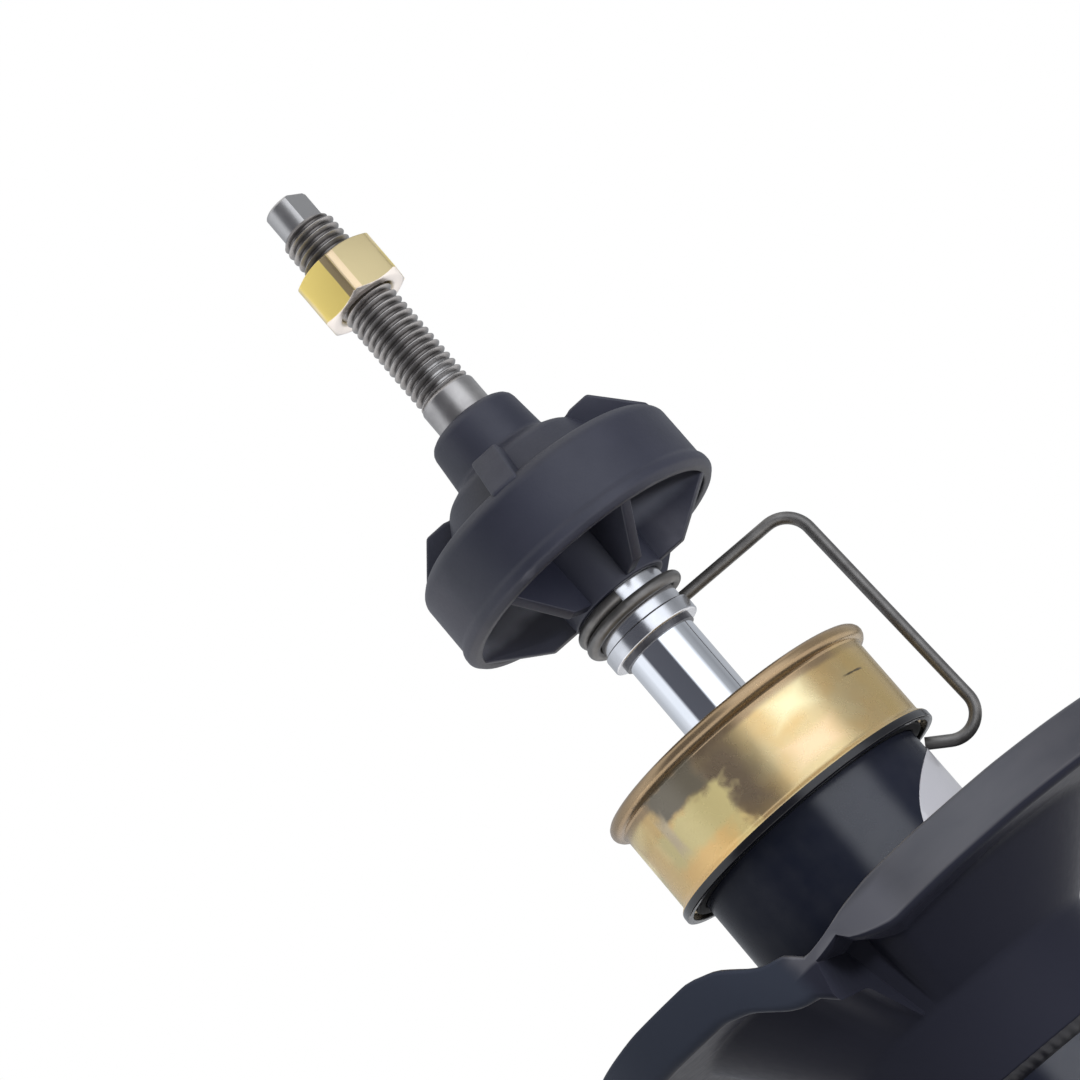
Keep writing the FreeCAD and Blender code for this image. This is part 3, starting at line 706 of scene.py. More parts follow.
# %% [markdown]
# ## Pressed cap
# The cap is one sheet: a flat top, a rolled bead round its edge, a plain skirt and a small flared
# lip. The bead is drawn as an arc of points in the profile, so the sheet flows over it without a
# seam.
# %% Cap's sizes and bead
cap_top = cap_high.z / mm
lip_bottom = cap_low.z / mm
bead_r = 1.9
bead_out = 34.6
bead_z = cap_top - bead_r
skirt_r = 34.2
cap_sheet = 1.6
cap_hole_r = 13.0
lip_out = 1.4
lip_r = skirt_r + lip_out
lip_edge = lip_bottom + 2.0             # the plating ends here
lip_slope = 1.2                         # the height over which the lip flares out
plate_top = bead_z - 0.5
skirt_bottom = lip_bottom + 3.2
bead_start = 165                        # degrees, at the bead's inner foot
bead_sweep = 255
bead_steps = 12

bead = []
for n in range(bead_steps + 1):
    a = math.radians(bead_start - n * bead_sweep / bead_steps)
    bead.append((bead_out + bead_r * math.cos(a), bead_z + bead_r * math.sin(a), 0))
print(f"bead: {len(bead)} points")

# %% Cap and its ring
pressed_cap = turned("pressed_cap", [
    (cap_hole_r, plate_top - cap_sheet, 0),
    (cap_hole_r, plate_top, 0.5),
    (bead[0][0] - 0.6, plate_top, 0.4),
    *bead,
    (skirt_r, bead_z - bead_r - 0.5, 0.2),
    (skirt_r, skirt_bottom, 0.6),
    (lip_r, skirt_bottom - lip_slope, 0.5),
    (lip_r, lip_bottom, 0.4),
    (lip_r - cap_sheet, lip_bottom, 0.2),
    (lip_r - cap_sheet, skirt_bottom - lip_slope, 0.3),
    (skirt_r - cap_sheet, skirt_bottom, 0.3),
    (skirt_r - cap_sheet, plate_top - cap_sheet, 0),
], steps=192)
smooth(pressed_cap, 40)
belong(pressed_cap, "strut_body", "yellow_zinc", "top_cap")

ring_inner_r = 30.05
ring_outer_r = skirt_r - cap_sheet - 0.1
ring_bottom = lip_bottom + 0.3
ring_top = skirt_bottom + 0.6
mouth_ring = turned("mouth_ring", [
    (ring_inner_r, ring_bottom, 0.3),
    (ring_outer_r, ring_bottom, 0.5),
    (ring_outer_r, ring_top, 0.3),
    (ring_inner_r, ring_top, 0.3),
])
smooth(mouth_ring)
belong(mouth_ring, "strut_body", "rubber", "cap_ring")

# %% [markdown]
# ## Spring seat
# The seat is a pressed pan whose rim climbs round the strut like the spring's last coil, with a
# step where the spring's end lies. It is spun flat first, from its section, and each point is
# then lifted by the climb at its own angle. A plain Screw would climb evenly and could make no
# step.
# %% Seat's sizes and climb
seat_low_top = 242.0
climb_start = -15
seat_climb = [                          # (angle from the front, rise of the rim)
    (climb_start, 0.8), (-12, 1.3), (-9, 2.2), (-6, 3.5), (0, 5.0), (10, 5.9), (27, 6.9),
    (40, 7.3), (160, 10.5), (310, 14.2), (326.6, 13.6), (331.9, 11.4), (334.5, 9.0), (337, 6.5),
    (339.4, 5.0), (343.2, 4.2), (344.4, 1.0), (345, 0.8),
]
seat_r = 76.0
seat_sheet = 3.0
seat_wall = 11.4
seat_floor = 8.0
step_wall = 2.6
step_start = -8.5                       # the wall reaches full depth within a few degrees
step_length = 8.0
coil_r = 53.0
neck_top = seat_low_top - 17.0
neck_length = 24.0
tube_r = 30.0
neck_r = tube_r + seat_sheet


def climb(angle):
    """The rim's rise at an angle in degrees, eased a little each way."""
    total = 0.0
    spread = (-1, -0.5, 0, 0.5, 1)
    for extra in spread:
        here = (angle + extra - climb_start) % 360 + climb_start
        for (a0, h0), (a1, h1) in zip(seat_climb, seat_climb[1:]):
            if a0 <= here <= a1:
                total += h0 + (h1 - h0) * (here - a0) / (a1 - a0)
                break
    return total / len(spread)


print(f"rim climbs from {climb(climb_start):.1f} to {climb(310):.1f} mm")

# %% Seat
pressed_seat = turned("pressed_seat", [
    (tube_r, neck_top - neck_length, 0),
    (neck_r, neck_top - neck_length, 0.6),
    (neck_r, neck_top - 4.2, 1.5),
    (coil_r, seat_low_top - seat_floor - seat_sheet, 2.0),
    (seat_r - 1.6, seat_low_top - seat_wall, 0.9),
    (seat_r, seat_low_top - seat_wall + 1.4, 0.9),
    (seat_r, seat_low_top, 0.9),
    (seat_r - seat_sheet, seat_low_top, 0.9),
    (seat_r - seat_sheet, seat_low_top - seat_floor + 2.0, 1.4),
    (seat_r - 2 * seat_sheet, seat_low_top - seat_floor, 1.4),
    (coil_r, seat_low_top - seat_floor, 2.0),
    (neck_r, neck_top, 1.5),
    (tube_r, neck_top, 0),
], steps=288)
for v in pressed_seat.data.vertices:
    out_x = v.co.x - axis_x
    angle = math.degrees(math.atan2(out_x, -v.co.y))
    here = (angle - climb_start) % 360 + climb_start
    past_step = min(1.0, max(0.0, (here - step_start) / step_length))
    wall = step_wall + (seat_wall - step_wall) * math.sqrt(past_step)
    from_neck = (math.hypot(out_x, v.co.y) / mm - neck_r) / (coil_r - neck_r)
    hang = min(seat_wall, seat_low_top - v.co.z / mm)
    lift = climb(angle) + hang * (1 - wall / seat_wall)
    v.co.z += min(1.0, max(0.0, from_neck)) * lift * mm
smooth(pressed_seat, 40)
belong(pressed_seat, "strut_body", "black_paint", "spring_seat")

# %% [markdown]
# ## Weld
# The pan's neck is welded to the tube all round. A weld bead is a ring whose radius rises and
# falls a little with each ripple of the torch.
# %% Weld
weld_z = neck_top - neck_length
ripples = 76
ripple_height = 0.14
weld = turned("weld", [
    (tube_r - 0.1, weld_z + 0.9, 0),
    (neck_r - 0.2, weld_z + 0.9, 0.4),
    (neck_r - 0.9, weld_z - 1.0, 0.9),
    (tube_r + 0.7, weld_z - 2.3, 0.7),
    (tube_r - 0.1, weld_z - 2.6, 0),
], steps=456)
for v in weld.data.vertices:
    out = Vector((v.co.x - axis_x, v.co.y, 0))
    if out.length > (tube_r + 0.3) * mm:
        wave = math.cos(ripples * math.atan2(out.y, out.x) + v.co.z / mm)
        v.co += out.normalized() * wave * ripple_height * mm
smooth(weld, 60)
belong(weld, "strut_body", "black_paint")

# %% [markdown]
# ## Bare label
# An oval sticker sits on the tube just above the seat. It is left bare. A thin sleeve and an oval
# block that reaches out from the strut's axis are crossed. That gives a sticker that follows the
# tube exactly and has a real edge.
# %% Label
label_turn = math.radians(105)
label_z = 248.0
label_half_width = 37.0                 # measured round the tube
label_half_height = 20.6
label_sheet = 0.15
label_lift = 0.01
sleeve_half = 30.0
label_points = 96
oval_start = 5.0                        # from the strut's axis outward
oval_reach = 40.0

bare_label = turned("bare_label", [
    (tube_r + label_lift, label_z - sleeve_half, 0),
    (tube_r + label_sheet, label_z - sleeve_half, 0),
    (tube_r + label_sheet, label_z + sleeve_half, 0),
    (tube_r + label_lift, label_z + sleeve_half, 0),
], steps=256)
out_way = Vector((math.sin(label_turn), -math.cos(label_turn), 0))
side_way = Vector((math.cos(label_turn), math.sin(label_turn), 0))
oval_spots = []
for n in range(label_points):
    a = 2 * math.pi * n / label_points
    wide = tube_r * math.sin(label_half_width * math.cos(a) / tube_r)
    middle = Vector((axis_x, 0, (label_z + label_half_height * math.sin(a)) * mm))
    oval_spots.append(middle + (side_way * wide + out_way * oval_start) * mm)
oval = slab("oval", oval_spots, out_way * oval_reach * mm)
object_mode()
combine(bare_label, [oval], "INTERSECT")
smooth(bare_label, 30)
belong(bare_label, "strut_body", "black_paint")

# %% [markdown]
# ## Effects that several finishes share
# Real surfaces vary in three ways: the colour drifts in soft patches, the polish changes from
# spot to spot, and convex edges are rubbed lighter. Each is one node group with named inputs, so
# that plating, paint, plastic and steel can all use it with their own values.
# %% Soft patches
FLOAT, VECTOR, COLOUR = "NodeSocketFloat", "NodeSocketVector", "NodeSocketColor"


def new_group(name, inputs, outputs):
    """An empty node group, the outputs of its entry and the inputs of its exit."""
    group = bpy.data.node_groups.new(name, "ShaderNodeTree")
    for in_out, sockets in (("INPUT", inputs), ("OUTPUT", outputs)):
        for socket_name, kind in sockets.items():
            group.interface.new_socket(name=socket_name, in_out=in_out, socket_type=kind)
    print(f"group {name}: {len(inputs)} inputs")
    return group, add(group, "NodeGroupInput").outputs, add(group, "NodeGroupOutput").inputs


def stretched_noise(tree, given, detail, roughness):
    """Noise on a group's own vector, with the stretch and the scale that the group is given."""
    stretch = {0: given["Vector"], 1: given["Stretch"]}
    return add(tree, "ShaderNodeTexNoise", {
        "Vector": add(tree, "ShaderNodeVectorMath", stretch, operation="MULTIPLY").outputs[0],
        "Scale": given["Scale"], "Detail": detail, "Roughness": roughness,
    }).outputs["Fac"]


patches, given, result = new_group("soft_patches", {
    "Vector": VECTOR, "Stretch": VECTOR, "Scale": FLOAT, "Sharpness": FLOAT,
    "First": COLOUR, "Second": COLOUR,
}, {"Color": COLOUR, "Mask": FLOAT})
noise = stretched_noise(patches, given, 3.0, 0.55)
low = calc(patches, "MULTIPLY_ADD", given["Sharpness"], 0.45, 0.05)
high = calc(patches, "SUBTRACT", 1.0, low)
mask = remap(patches, noise, low, high, interpolation_type="SMOOTHSTEP")
link(patches, mix(patches, mask, given["First"], given["Second"]), result["Color"])
link(patches, mask, result["Mask"])

# %% Fine grain
grain, given, result = new_group("fine_grain", {
    "Vector": VECTOR, "Stretch": VECTOR, "Scale": FLOAT, "Polish": FLOAT, "Spread": FLOAT,
}, {"Roughness": FLOAT, "Height": FLOAT})
noise = stretched_noise(grain, given, 4.0, 0.5)
centred = calc(grain, "SUBTRACT", noise, 0.5)
roughness = calc(grain, "MULTIPLY_ADD", centred, given["Spread"], given["Polish"])
link(grain, roughness, result["Roughness"])
link(grain, noise, result["Height"])

# %% Rubbed edges
rubbed, given, result = new_group("rubbed_edges", {
    "Vector": VECTOR, "Color": COLOUR, "Edge": COLOUR, "Amount": FLOAT,
}, {"Color": COLOUR})
convex = remap(rubbed, add(rubbed, "ShaderNodeNewGeometry").outputs["Pointiness"], 0.51, 0.60)
patchy = add(rubbed, "ShaderNodeTexNoise", {"Vector": given["Vector"], "Scale": 220.0})
worn = calc(rubbed, "MULTIPLY", convex, patchy.outputs["Fac"])
limited = calc(rubbed, "MULTIPLY", worn, given["Amount"], use_clamp=True)
link(rubbed, mix(rubbed, limited, given["Color"], given["Edge"]), result["Color"])

# %% [markdown]
# ### One wavy spot
# A spot lies at an angle round the strut and at a height. How far a point is from its middle is
# counted in half widths, noise makes the border wavy, and the mask fades out where that count
# reaches the edge.
# %% Round spot
spot_edge = 1.25

spot, given, result = new_group("round_spot", {
    "Vector": VECTOR, "Angle": FLOAT, "Half Angle": FLOAT, "Height": FLOAT, "Half Height": FLOAT,
    "Softness": FLOAT, "Waviness": FLOAT, "Wave Scale": FLOAT,
}, {"Mask": FLOAT})
parts = split(spot, given["Vector"])
angle = angle_round(spot, calc(spot, "SUBTRACT", parts["X"], axis_x), parts["Y"])
off_angle = calc(spot, "SUBTRACT", angle, given["Angle"])
off_height = calc(spot, "SUBTRACT", parts["Z"], given["Height"])
wide = calc(spot, "DIVIDE", calc(spot, "ABSOLUTE", off_angle), given["Half Angle"])
tall = calc(spot, "DIVIDE", calc(spot, "ABSOLUTE", off_height), given["Half Height"])
wave = add(spot, "ShaderNodeTexNoise", {
    "Vector": given["Vector"], "Scale": given["Wave Scale"], "Detail": 2.0,
})
far = calc(spot, "MAXIMUM", wide, tall)
wavy = calc(spot, "MULTIPLY_ADD", wave.outputs["Fac"], given["Waviness"], far)
inner = calc(spot, "SUBTRACT", spot_edge, given["Softness"])
fade = remap(spot, wavy, inner, spot_edge, 1.0, 0.0, interpolation_type="SMOOTHSTEP")
link(spot, fade, result["Mask"])

# %% [markdown]
# ## Finishes
# Each finish is one Principled shader. What is even over the surface, such as the coat, is set on
# the shader itself. Colour, polish and fine relief come from the groups, on Object coordinates in
# metres, so a scale of 100 means patches of about a centimetre.
# %% Finish builder
def use_group(tree, group, values):
    """One use of a shared group on the piece's own coordinates."""
    inputs = {"Vector": object_place(tree), **values}
    return add(tree, "ShaderNodeGroup", inputs, node_tree=group)


def colour(red, green, blue):
    return (red, green, blue, 1)


def finish(name, first, second, patch_scale, metallic, polish, spread, grain_scale, relief,
           patch_stretch=(1, 1, 1), grain_stretch=(1, 1, 1), sharpness=0.5, edge=None, rub=0.0,
           specular=0.5, coat=0.0, coat_polish=0.1):
    """A finish with patches of two colours, a grain, and rubbed edges if it has an edge colour."""
    material, tree = new_material(name)
    drift = use_group(tree, patches, {
        "Scale": patch_scale, "Stretch": patch_stretch, "Sharpness": sharpness,
        "First": colour(*first), "Second": colour(*second),
    })
    fine = use_group(tree, grain, {
        "Scale": grain_scale, "Stretch": grain_stretch, "Polish": polish, "Spread": spread,
    })
    tint = drift.outputs["Color"]
    if edge:
        values = {"Color": tint, "Edge": colour(*edge), "Amount": rub}
        tint = use_group(tree, rubbed, values).outputs["Color"]
    bump = {"Strength": 1.0, "Distance": relief * mm, "Height": fine.outputs["Height"]}
    fill(tree, tree.nodes["Principled BSDF"], {
        "Base Color": tint,
        "Metallic": metallic,
        "Roughness": fine.outputs["Roughness"],
        "Specular IOR Level": specular,
        "Coat Weight": coat,
        "Coat Roughness": coat_polish,
        "Normal": add(tree, "ShaderNodeBump", bump).outputs["Normal"],
    })
    return material


def dress(piece, material):
    if piece.material_slots:
        for slot in piece.material_slots:
            slot.material = material
    else:
        piece.data.materials.append(material)


# %% [markdown]
# ### Paint
# The tube is smooth glossy paint. The seat and the bracket are painted rougher, and are rubbed
# lighter along their edges. On the tube and the seat it is the clear coat that mirrors, and the
# paint under it hardly does, so that a mask on the coat can later say where they shine.
# %% Paints
glossy_paint = finish(
    "glossy_paint", (0.006, 0.008, 0.016), (0.009, 0.011, 0.021), 30, 0.0, 0.25, 0.08, 700, 0.006,
    edge=(0.05, 0.05, 0.055), rub=0.5, specular=0.06, coat_polish=0.22,
)
pressed_paint = finish(
    "pressed_paint", (0.025, 0.026, 0.034), (0.037, 0.037, 0.045), 45, 0.0, 0.38, 0.14, 500, 0.02,
    patch_stretch=(1, 1, 3), edge=(0.08, 0.08, 0.085), rub=0.7, specular=0.02, coat_polish=0.36,
)
bracket_paint = finish(
    "bracket_paint", (0.007, 0.007, 0.010), (0.011, 0.011, 0.014), 60, 0.0, 0.34, 0.12, 450, 0.02,
    edge=(0.07, 0.07, 0.075), rub=0.7, specular=0.3,
)
lip_paint = finish(
    "lip_paint", (0.004, 0.004, 0.006), (0.007, 0.007, 0.009), 80, 0.0, 0.20, 0.1, 600, 0.01,
)
print("paints: tube, seat, bracket, lip")

# %% [markdown]
# ### Plating and steel
# Yellow chromate over zinc is never one colour: it drifts from gold to a greenish yellow and to
# pink within a centimetre. Chrome and turned steel differ in their grain, which runs round the
# bar.
# %% Metals
yellow_zinc = finish(
    "yellow_zinc", (0.60, 0.42, 0.19), (0.58, 0.46, 0.25), 62, 0.8, 0.27, 0.12, 240, 0.012,
    sharpness=0.7, edge=(0.88, 0.80, 0.58), rub=0.6,
)
nut_zinc = finish(
    "nut_zinc", (0.80, 0.66, 0.26), (0.80, 0.68, 0.42), 130, 0.55, 0.34, 0.12, 900, 0.012,
    sharpness=0.7, edge=(0.90, 0.76, 0.60), rub=0.9,
)
chrome = finish(
    "chrome", (0.76, 0.78, 0.82), (0.80, 0.81, 0.84), 80, 1.0, 0.07, 0.04, 900, 0.0012,
    grain_stretch=(0.3, 0.3, 6),
)
turned_steel = finish(
    "turned_steel", (0.58, 0.585, 0.61), (0.66, 0.665, 0.69), 160, 1.0, 0.20, 0.12, 500, 0.006,
    grain_stretch=(0.15, 0.15, 9), edge=(0.86, 0.86, 0.88), rub=0.7,
)
threaded_steel = finish(
    "threaded_steel", (0.35, 0.335, 0.33), (0.43, 0.415, 0.405), 210, 0.95, 0.34, 0.12, 600, 0.008,
    grain_stretch=(0.2, 0.2, 6), sharpness=0.6,
)
drawn_wire = finish(
    "drawn_wire", (0.125, 0.12, 0.117), (0.18, 0.175, 0.17), 260, 0.8, 0.40, 0.12, 900, 0.010,
    sharpness=0.4,
)
dark_steel = finish(
    "dark_steel", (0.07, 0.07, 0.08), (0.12, 0.12, 0.13), 300, 0.8, 0.36, 0.14, 800, 0.01,
)
plain_steel = finish(
    "plain_steel", (0.40, 0.40, 0.41), (0.50, 0.50, 0.51), 120, 1.0, 0.30, 0.14, 600, 0.01,
    grain_stretch=(0.3, 0.3, 5), edge=(0.6, 0.6, 0.6), rub=0.6,
)
sintered = finish(
    "sintered", (0.20, 0.195, 0.19), (0.30, 0.29, 0.28), 500, 0.9, 0.55, 0.2, 1800, 0.03,
)
bronze = finish(
    "bronze", (0.50, 0.33, 0.14), (0.60, 0.42, 0.20), 150, 1.0, 0.28, 0.12, 700, 0.01,
    grain_stretch=(0.3, 0.3, 5),
)
print("metals: two zincs, chrome, six steels and bronze")

# %% Plastics, rubber and paper
moulding = finish(
    "moulding", (0.0115, 0.0128, 0.0235), (0.018, 0.0193, 0.032), 55, 0.0, 0.50, 0.14, 1500, 0.02,
    edge=(0.09, 0.09, 0.11), rub=0.6,
)
rubber = finish(
    "rubber", (0.014, 0.014, 0.015), (0.022, 0.022, 0.022), 200, 0.0, 0.62, 0.12, 1200, 0.02,
)
band_plastic = finish(
    "band_plastic", (0.08, 0.07, 0.06), (0.13, 0.11, 0.10), 260, 0.0, 0.45, 0.14, 1200, 0.015,
)
cushion = finish(
    "cushion", (0.14, 0.14, 0.13), (0.19, 0.19, 0.18), 220, 0.0, 0.58, 0.12, 1200, 0.02,
)
label_paper = finish(
    "label_paper", (0.36, 0.36, 0.395), (0.41, 0.405, 0.43), 40, 0.0, 0.34, 0.06, 700, 0.003,
    coat=0.4, coat_polish=0.15,
)
print(f"{len(bpy.data.materials)} materials so far")

# %% [markdown]
# ## Stains and painted light
# A finish so far is the same all over. Real pieces carry marks in certain places, and some marks
# here are painted light and shade instead: colour made lighter or darker where light or shadow
# falls.
# Each mark is a mask with a colour: a spot, the faces that look down, or what lies beyond a radius.
# Marks are laid on a finish one after the other, so the last one is on top.
# %% Masks
def spot_mask(tree, angle, half_angle, height, half_height, softness, waviness, wave_scale=150.0):
    """The mask of one spot: angles in degrees from the front, heights in mm."""
    return use_group(tree, spot, {
        "Angle": math.radians(angle), "Half Angle": math.radians(half_angle),
        "Height": height * mm, "Half Height": half_height * mm,
        "Softness": softness, "Waviness": waviness, "Wave Scale": wave_scale,
    }).outputs["Mask"]


def from_axis(tree):
    """The distance from the strut's axis."""
    vector = object_place(tree)
    for operation, other in (("SUBTRACT", (axis_x, 0, 0)), ("MULTIPLY", (1, 1, 0))):
        inputs = {0: vector, 1: other}
        vector = add(tree, "ShaderNodeVectorMath", inputs, operation=operation).outputs["Vector"]
    return add(tree, "ShaderNodeVectorMath", {0: vector}, operation="LENGTH").outputs["Value"]


def past_radius(tree, mask, radius):
    """Keeps a mask only beyond a radius in mm."""
    return calc(tree, "MULTIPLY", mask, calc(tree, "GREATER_THAN", from_axis(tree), radius * mm))


def within_radius(tree, mask, radius):
    """Keeps a mask only inside a radius in mm."""
    return calc(tree, "MULTIPLY", mask, calc(tree, "LESS_THAN", from_axis(tree), radius * mm))


def facing_down(tree, start, full):
    """The mask of faces that look down, from the normal's Z where it starts to the full mask."""
    normal = split(tree, add(tree, "ShaderNodeNewGeometry").outputs["Normal"])
    return remap(tree, normal["Z"], start, full)


def open_finish(material):
    """A finish's graph, its shader and the colour that it has so far."""
    tree = material.node_tree
    shader = tree.nodes["Principled BSDF"]
    return tree, shader, shader.inputs["Base Color"].links[0].from_socket


def lay_stains_and_painted_light(tree, tint, stains):
    """A colour with stains, painted light and painted shade on it, each a colour and a mask, and
    the last one on top.
    """
    for mark_colour, mask in stains:
        tint = mix(tree, mask, tint, colour(*mark_colour))
    return tint


# %% [markdown]
# ### The cap's chromate
# The bath left the cap's front with a dull, powdery patch that doesn't mirror and an orange foot.
# A brown run beside the patch lies where the dark flag mirrors, so it is chromate tone and painted
# reflection in one. Pale and peach patches under the soft box's highlight are chromate tone and
# painted highlight in one. A scratch at the right is a spot too, a very flat one.
# %% Cap stains
bead_inner_r = 31.5
metal_clean = 0.8
metal_dull = 0.2

tree, shader, tint = open_finish(yellow_zinc)
powder = spot_mask(tree, -55, 45, skirt_bottom + 1, 13.2, 0.2, 0.55, 240)
shade = spot_mask(tree, -34, 18, skirt_bottom + 17, 4.4, 0.4, 0.5, 300)
bead_band = spot_mask(tree, 0, 180, cap_top - 1.6, 4.6, 0.3, 0.3)
cap_stains_and_light = [
    ((0.34, 0.24, 0.14), past_radius(tree, bead_band, bead_inner_r)),
    # Pale and peach patches under the soft box's highlight: chromate tone and painted highlight in
    # one.
    ((0.74, 0.66, 0.40), spot_mask(tree, 22, 14, skirt_bottom + 15, 4.5, 0.9, 0.4)),
    ((0.74, 0.54, 0.33), spot_mask(tree, 20, 16, skirt_bottom + 5, 4.0, 0.9, 0.4)),
    # A brown run where the dark flag mirrors: chromate tone and painted reflection in one.
    ((0.36, 0.27, 0.18), spot_mask(tree, -14, 14, skirt_bottom + 10, 14, 0.7, 0.4)),
    ((0.58, 0.49, 0.23), powder),
    ((0.15, 0.13, 0.095), shade),
    ((0.70, 0.46, 0.18), spot_mask(tree, -50, 39, skirt_bottom, 6.0, 0.5, 0.6, 220)),
    ((0.96, 0.80, 0.42), spot_mask(tree, -78, 24, skirt_bottom + 13, 6.5, 0.6, 0.5)),
    ((0.66, 0.47, 0.20), spot_mask(tree, -68, 13, skirt_bottom + 8, 12, 0.7, 0.4)),
    ((0.50, 0.41, 0.27), spot_mask(tree, -48, 4.0, skirt_bottom + 10.5, 6.5, 0.8, 0.4)),
    ((0.53, 0.38, 0.15), spot_mask(tree, 72, 24, skirt_bottom + 9, 16, 0.7, 0.4)),
    ((0.13, 0.10, 0.06), spot_mask(tree, 55, 11.5, skirt_bottom + 13.2, 0.42, 0.5, 1.0, 420)),
]
link(tree, lay_stains_and_painted_light(tree, tint, cap_stains_and_light), shader.inputs["Base Color"])
dull = calc(tree, "MAXIMUM", powder, shade)
link(tree, remap(tree, dull, 0.0, 1.0, metal_clean, metal_dull), shader.inputs["Metallic"])
print(f"cap: {len(cap_stains_and_light)} stains")

# %% [markdown]
# ### The seat's shade, and the sheen of the tube
# Under the pan, in its step and on its left flank the paint is painted dark as shade, and mirrors
# nothing. One mask paints that shade and takes its coat away, and a lighter spot at the step paints
# the highlight on its edge. The tube keeps its coat only on a stripe at its front, where the soft
# box stands.
# %% Seat and tube
# Painted shade under the pan and in the step, painted shade for the left flank, and a painted
# highlight at the step.
shade_paint = (0.019, 0.020, 0.030)
flank_shade_paint = (0.030, 0.035, 0.050)
step_highlight_paint = (0.064, 0.065, 0.078)

tree, shader, tint = open_finish(pressed_paint)
shaded_left_flank = past_radius(tree, spot_mask(tree, -55, 33, 240, 26, 0.12, 0.1), seat_r - 1.6)
# Painted shade: faces that look down, the neck below the pan, the step and the left flank are
# painted dark and lose their coat.
dark = facing_down(tree, -0.25, -0.50)
for mask in (
    spot_mask(tree, 0, 181, 115, 91.5, 0.03, 0.0),              # the neck, below the pan
    spot_mask(tree, -15, 8, 227, 10.4, 0.12, 0.1),              # in the step
    spot_mask(tree, -16, 6, 228, 11.1, 0.10, 0.1),              # before the step
    shaded_left_flank,
):
    dark = calc(tree, "MAXIMUM", dark, mask)
seat_painted_light = [
    # A lighter spot at the step is a painted highlight on its edge.
    (step_highlight_paint, spot_mask(tree, -10, 12, 240.5, 5, 0.5, 0.1)),
    (shade_paint, dark),
    (flank_shade_paint, shaded_left_flank),
]
link(tree, lay_stains_and_painted_light(tree, tint, seat_painted_light), shader.inputs["Base Color"])
link(tree, calc(tree, "SUBTRACT", 1.0, dark), shader.inputs["Coat Weight"])

tree, shader, tint = open_finish(glossy_paint)
link(tree, spot_mask(tree, 20, 16, 150, 400, 0.6, 0.1), shader.inputs["Coat Weight"])
print(f"seat: {len(seat_painted_light)} stains")

# %% [markdown]
# ### Painted light in the cup, and the nut's faces
# The cup's left side is painted lighter, as the edge light from the left shows it, and the pockets
# between its webs are painted lighter where light reaches into them. Each face of the nut took the
# chromate in its own way. Two spots on its front edge paint the dark and the bright reflection
# there, and its underside has no chromate and is painted near white, partly a painted reflection
# of the bright floor.
# %% Cup and nut
tree, shader, tint = open_finish(moulding)
wall_middle = (cup_rim + cup_shoulder) / 2
pocket_middle = (cup_rim + cup_ceiling) / 2
pocket_half = (cup_ceiling - cup_rim) / 2
pocket_r = cup_inner_r + 0.2
# The left wall is painted lighter: painted light from the edge light.
cup_painted_light = [((0.040, 0.040, 0.054), spot_mask(tree, -72, 30, wall_middle, 14, 0.6, 0.4))]
# The pockets are painted lighter, the left ones most: painted light reaching into them.
for mark_colour, at in (((0.30, 0.31, 0.36), -112), ((0.09, 0.095, 0.12), 112)):
    pocket_light = spot_mask(tree, at, 56, pocket_middle, pocket_half, 0.5, 0.3)
    cup_painted_light.append((mark_colour, within_radius(tree, pocket_light, pocket_r)))
link(tree, lay_stains_and_painted_light(tree, tint, cup_painted_light), shader.inputs["Base Color"])

tree, shader, tint = open_finish(nut_zinc)
under = facing_down(tree, -0.5, -0.8)
nut_stains_and_light = [
    (mark_colour, spot_mask(tree, at, half, 440, 60, 0.25, 0.2)) for mark_colour, at, half in (
        ((0.48, 0.40, 0.22), 32, 26), ((0.86, 0.67, 0.20), -30, 27),
        # The brown spot at -6.5 degrees and the peach one at 4 lie on the front edge and paint its
        # dark and its bright reflection.
        ((0.30, 0.23, 0.13), -6.5, 5), ((0.66, 0.52, 0.34), 4, 4.5),
    )
]
# The underside is painted near white, partly as a painted reflection of the bright floor.
nut_stains_and_light.append(((0.93, 0.86, 0.80), under))
link(tree, lay_stains_and_painted_light(tree, tint, nut_stains_and_light), shader.inputs["Base Color"])
link(tree, remap(tree, under, 0.0, 1.0, 0.55, 0.97), shader.inputs["Metallic"])
print(f"cup: {len(cup_painted_light)} stains, nut: {len(nut_stains_and_light)} stains")

# %% [markdown]
# ### The thread's roots
# The finish darkens from the crests towards the root radius, and the distance from the stud's axis
# tells the two apart. The tip is left out of it. The last turns are cut shallow, and a lighter spot
# there on the soft box's side is partly a painted highlight.
# %% Threaded steel
root_colour = colour(0.12, 0.11, 0.105)
run_out = thread_low + 3.5              # the last turns are cut shallow; the lighter spot there is partly a painted highlight

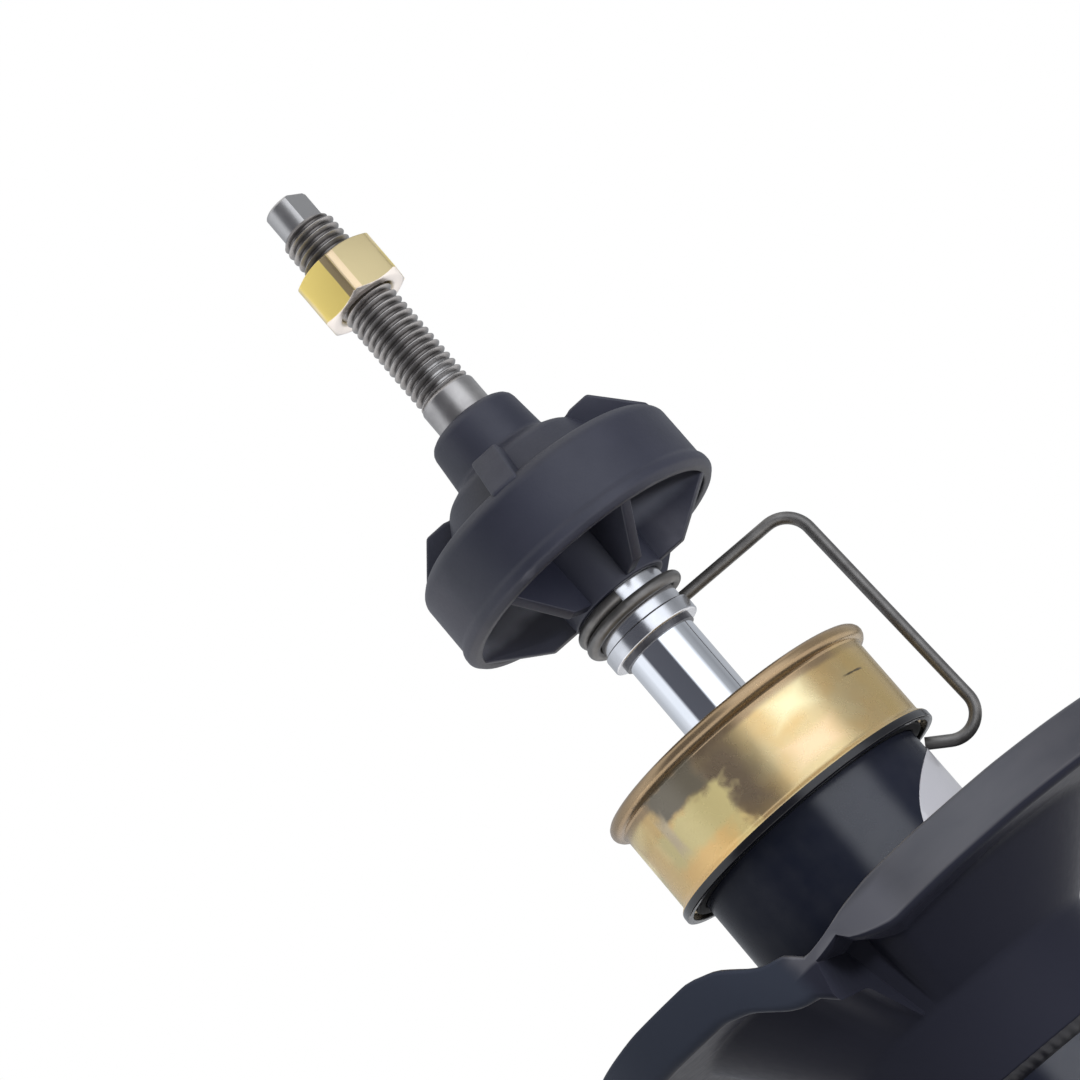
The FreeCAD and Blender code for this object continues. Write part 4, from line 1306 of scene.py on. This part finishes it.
tree, shader, tint = open_finish(threaded_steel)
on_crest = remap(tree, from_axis(tree), (root_r - 0.1) * mm, (crest_r - 0.1) * mm)
on_tip = calc(tree, "GREATER_THAN", split(tree, object_place(tree))["Z"], thread_high * mm)
tint = mix(tree, calc(tree, "MAXIMUM", on_crest, on_tip), root_colour, tint)
stud_stains_and_light = [
    # Lighter at the run-out on the soft box's side: partly a painted highlight.
    ((0.40, 0.39, 0.385), spot_mask(tree, 30, 42, run_out, 4.5, 0.7, 0.5, 400)),
    ((0.45, 0.44, 0.435), spot_mask(tree, 0, 180, stud_tip, tip_length - 1, 0.2, 0.0)),
]
link(tree, lay_stains_and_painted_light(tree, tint, stud_stains_and_light), shader.inputs["Base Color"])
print(f"stud: dirt and {len(stud_stains_and_light)} stains")

# %% Dress every piece
new_pieces = (
    (chromed_bar, chrome), (machined_stud, threaded_steel), (hex_nut, nut_zinc),
    (moulded_cup, moulding), (pressed_cap, yellow_zinc), (mouth_ring, rubber),
    (pressed_seat, pressed_paint), (weld, bracket_paint), (bare_label, label_paper),
)
for piece, material in new_pieces:
    dress(piece, material)
pressed_cap.data.materials.append(lip_paint)
for face in pressed_cap.data.polygons:
    if face.center.z / mm < lip_edge:
        face.material_index = 1

for material, names in (
    (glossy_paint, "outer_tube tube_base"),
    (pressed_paint, "spring_seat"),
    (bracket_paint, "knuckle_bracket bracket_brace hose_bracket"),
    (yellow_zinc, "top_cap"),
    (nut_zinc, "top_nut"),
    (chrome, "piston_rod"),
    (turned_steel, "stop_collar"),
    (dark_steel, "collar_ring"),
    (drawn_wire, "retaining_wire"),
    (moulding, "bump_cup"),
    (rubber, "cap_ring rod_seal guide_o_ring"),
    (sintered, "base_valve_body rod_guide piston"),
    (plain_steel, "pressure_tube base_valve_disc base_valve_pin seal_spring"),
    (plain_steel, "piston_discs piston_plate piston_nut rebound_stop"),
    (bronze, "guide_bush"),
    (band_plastic, "piston_band"),
    (cushion, "rebound_bumper"),
):
    for name in names.split():
        dress(nodes[name], material)
print(f"{len(nodes)} plain pieces and {len(new_pieces)} new ones are dressed")

# %% [markdown]
# ## Size
# Both boxes are kept side by side, and how far the dressed strut grows past the solids that it
# stands on is printed.
# %% Compare the boxes and finish
new_low, new_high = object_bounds()
growth = [round((new - old) / mm, 2) for new, old in zip(new_high, cad_high)]
print(f"box grows by {growth} mm at its high corner")
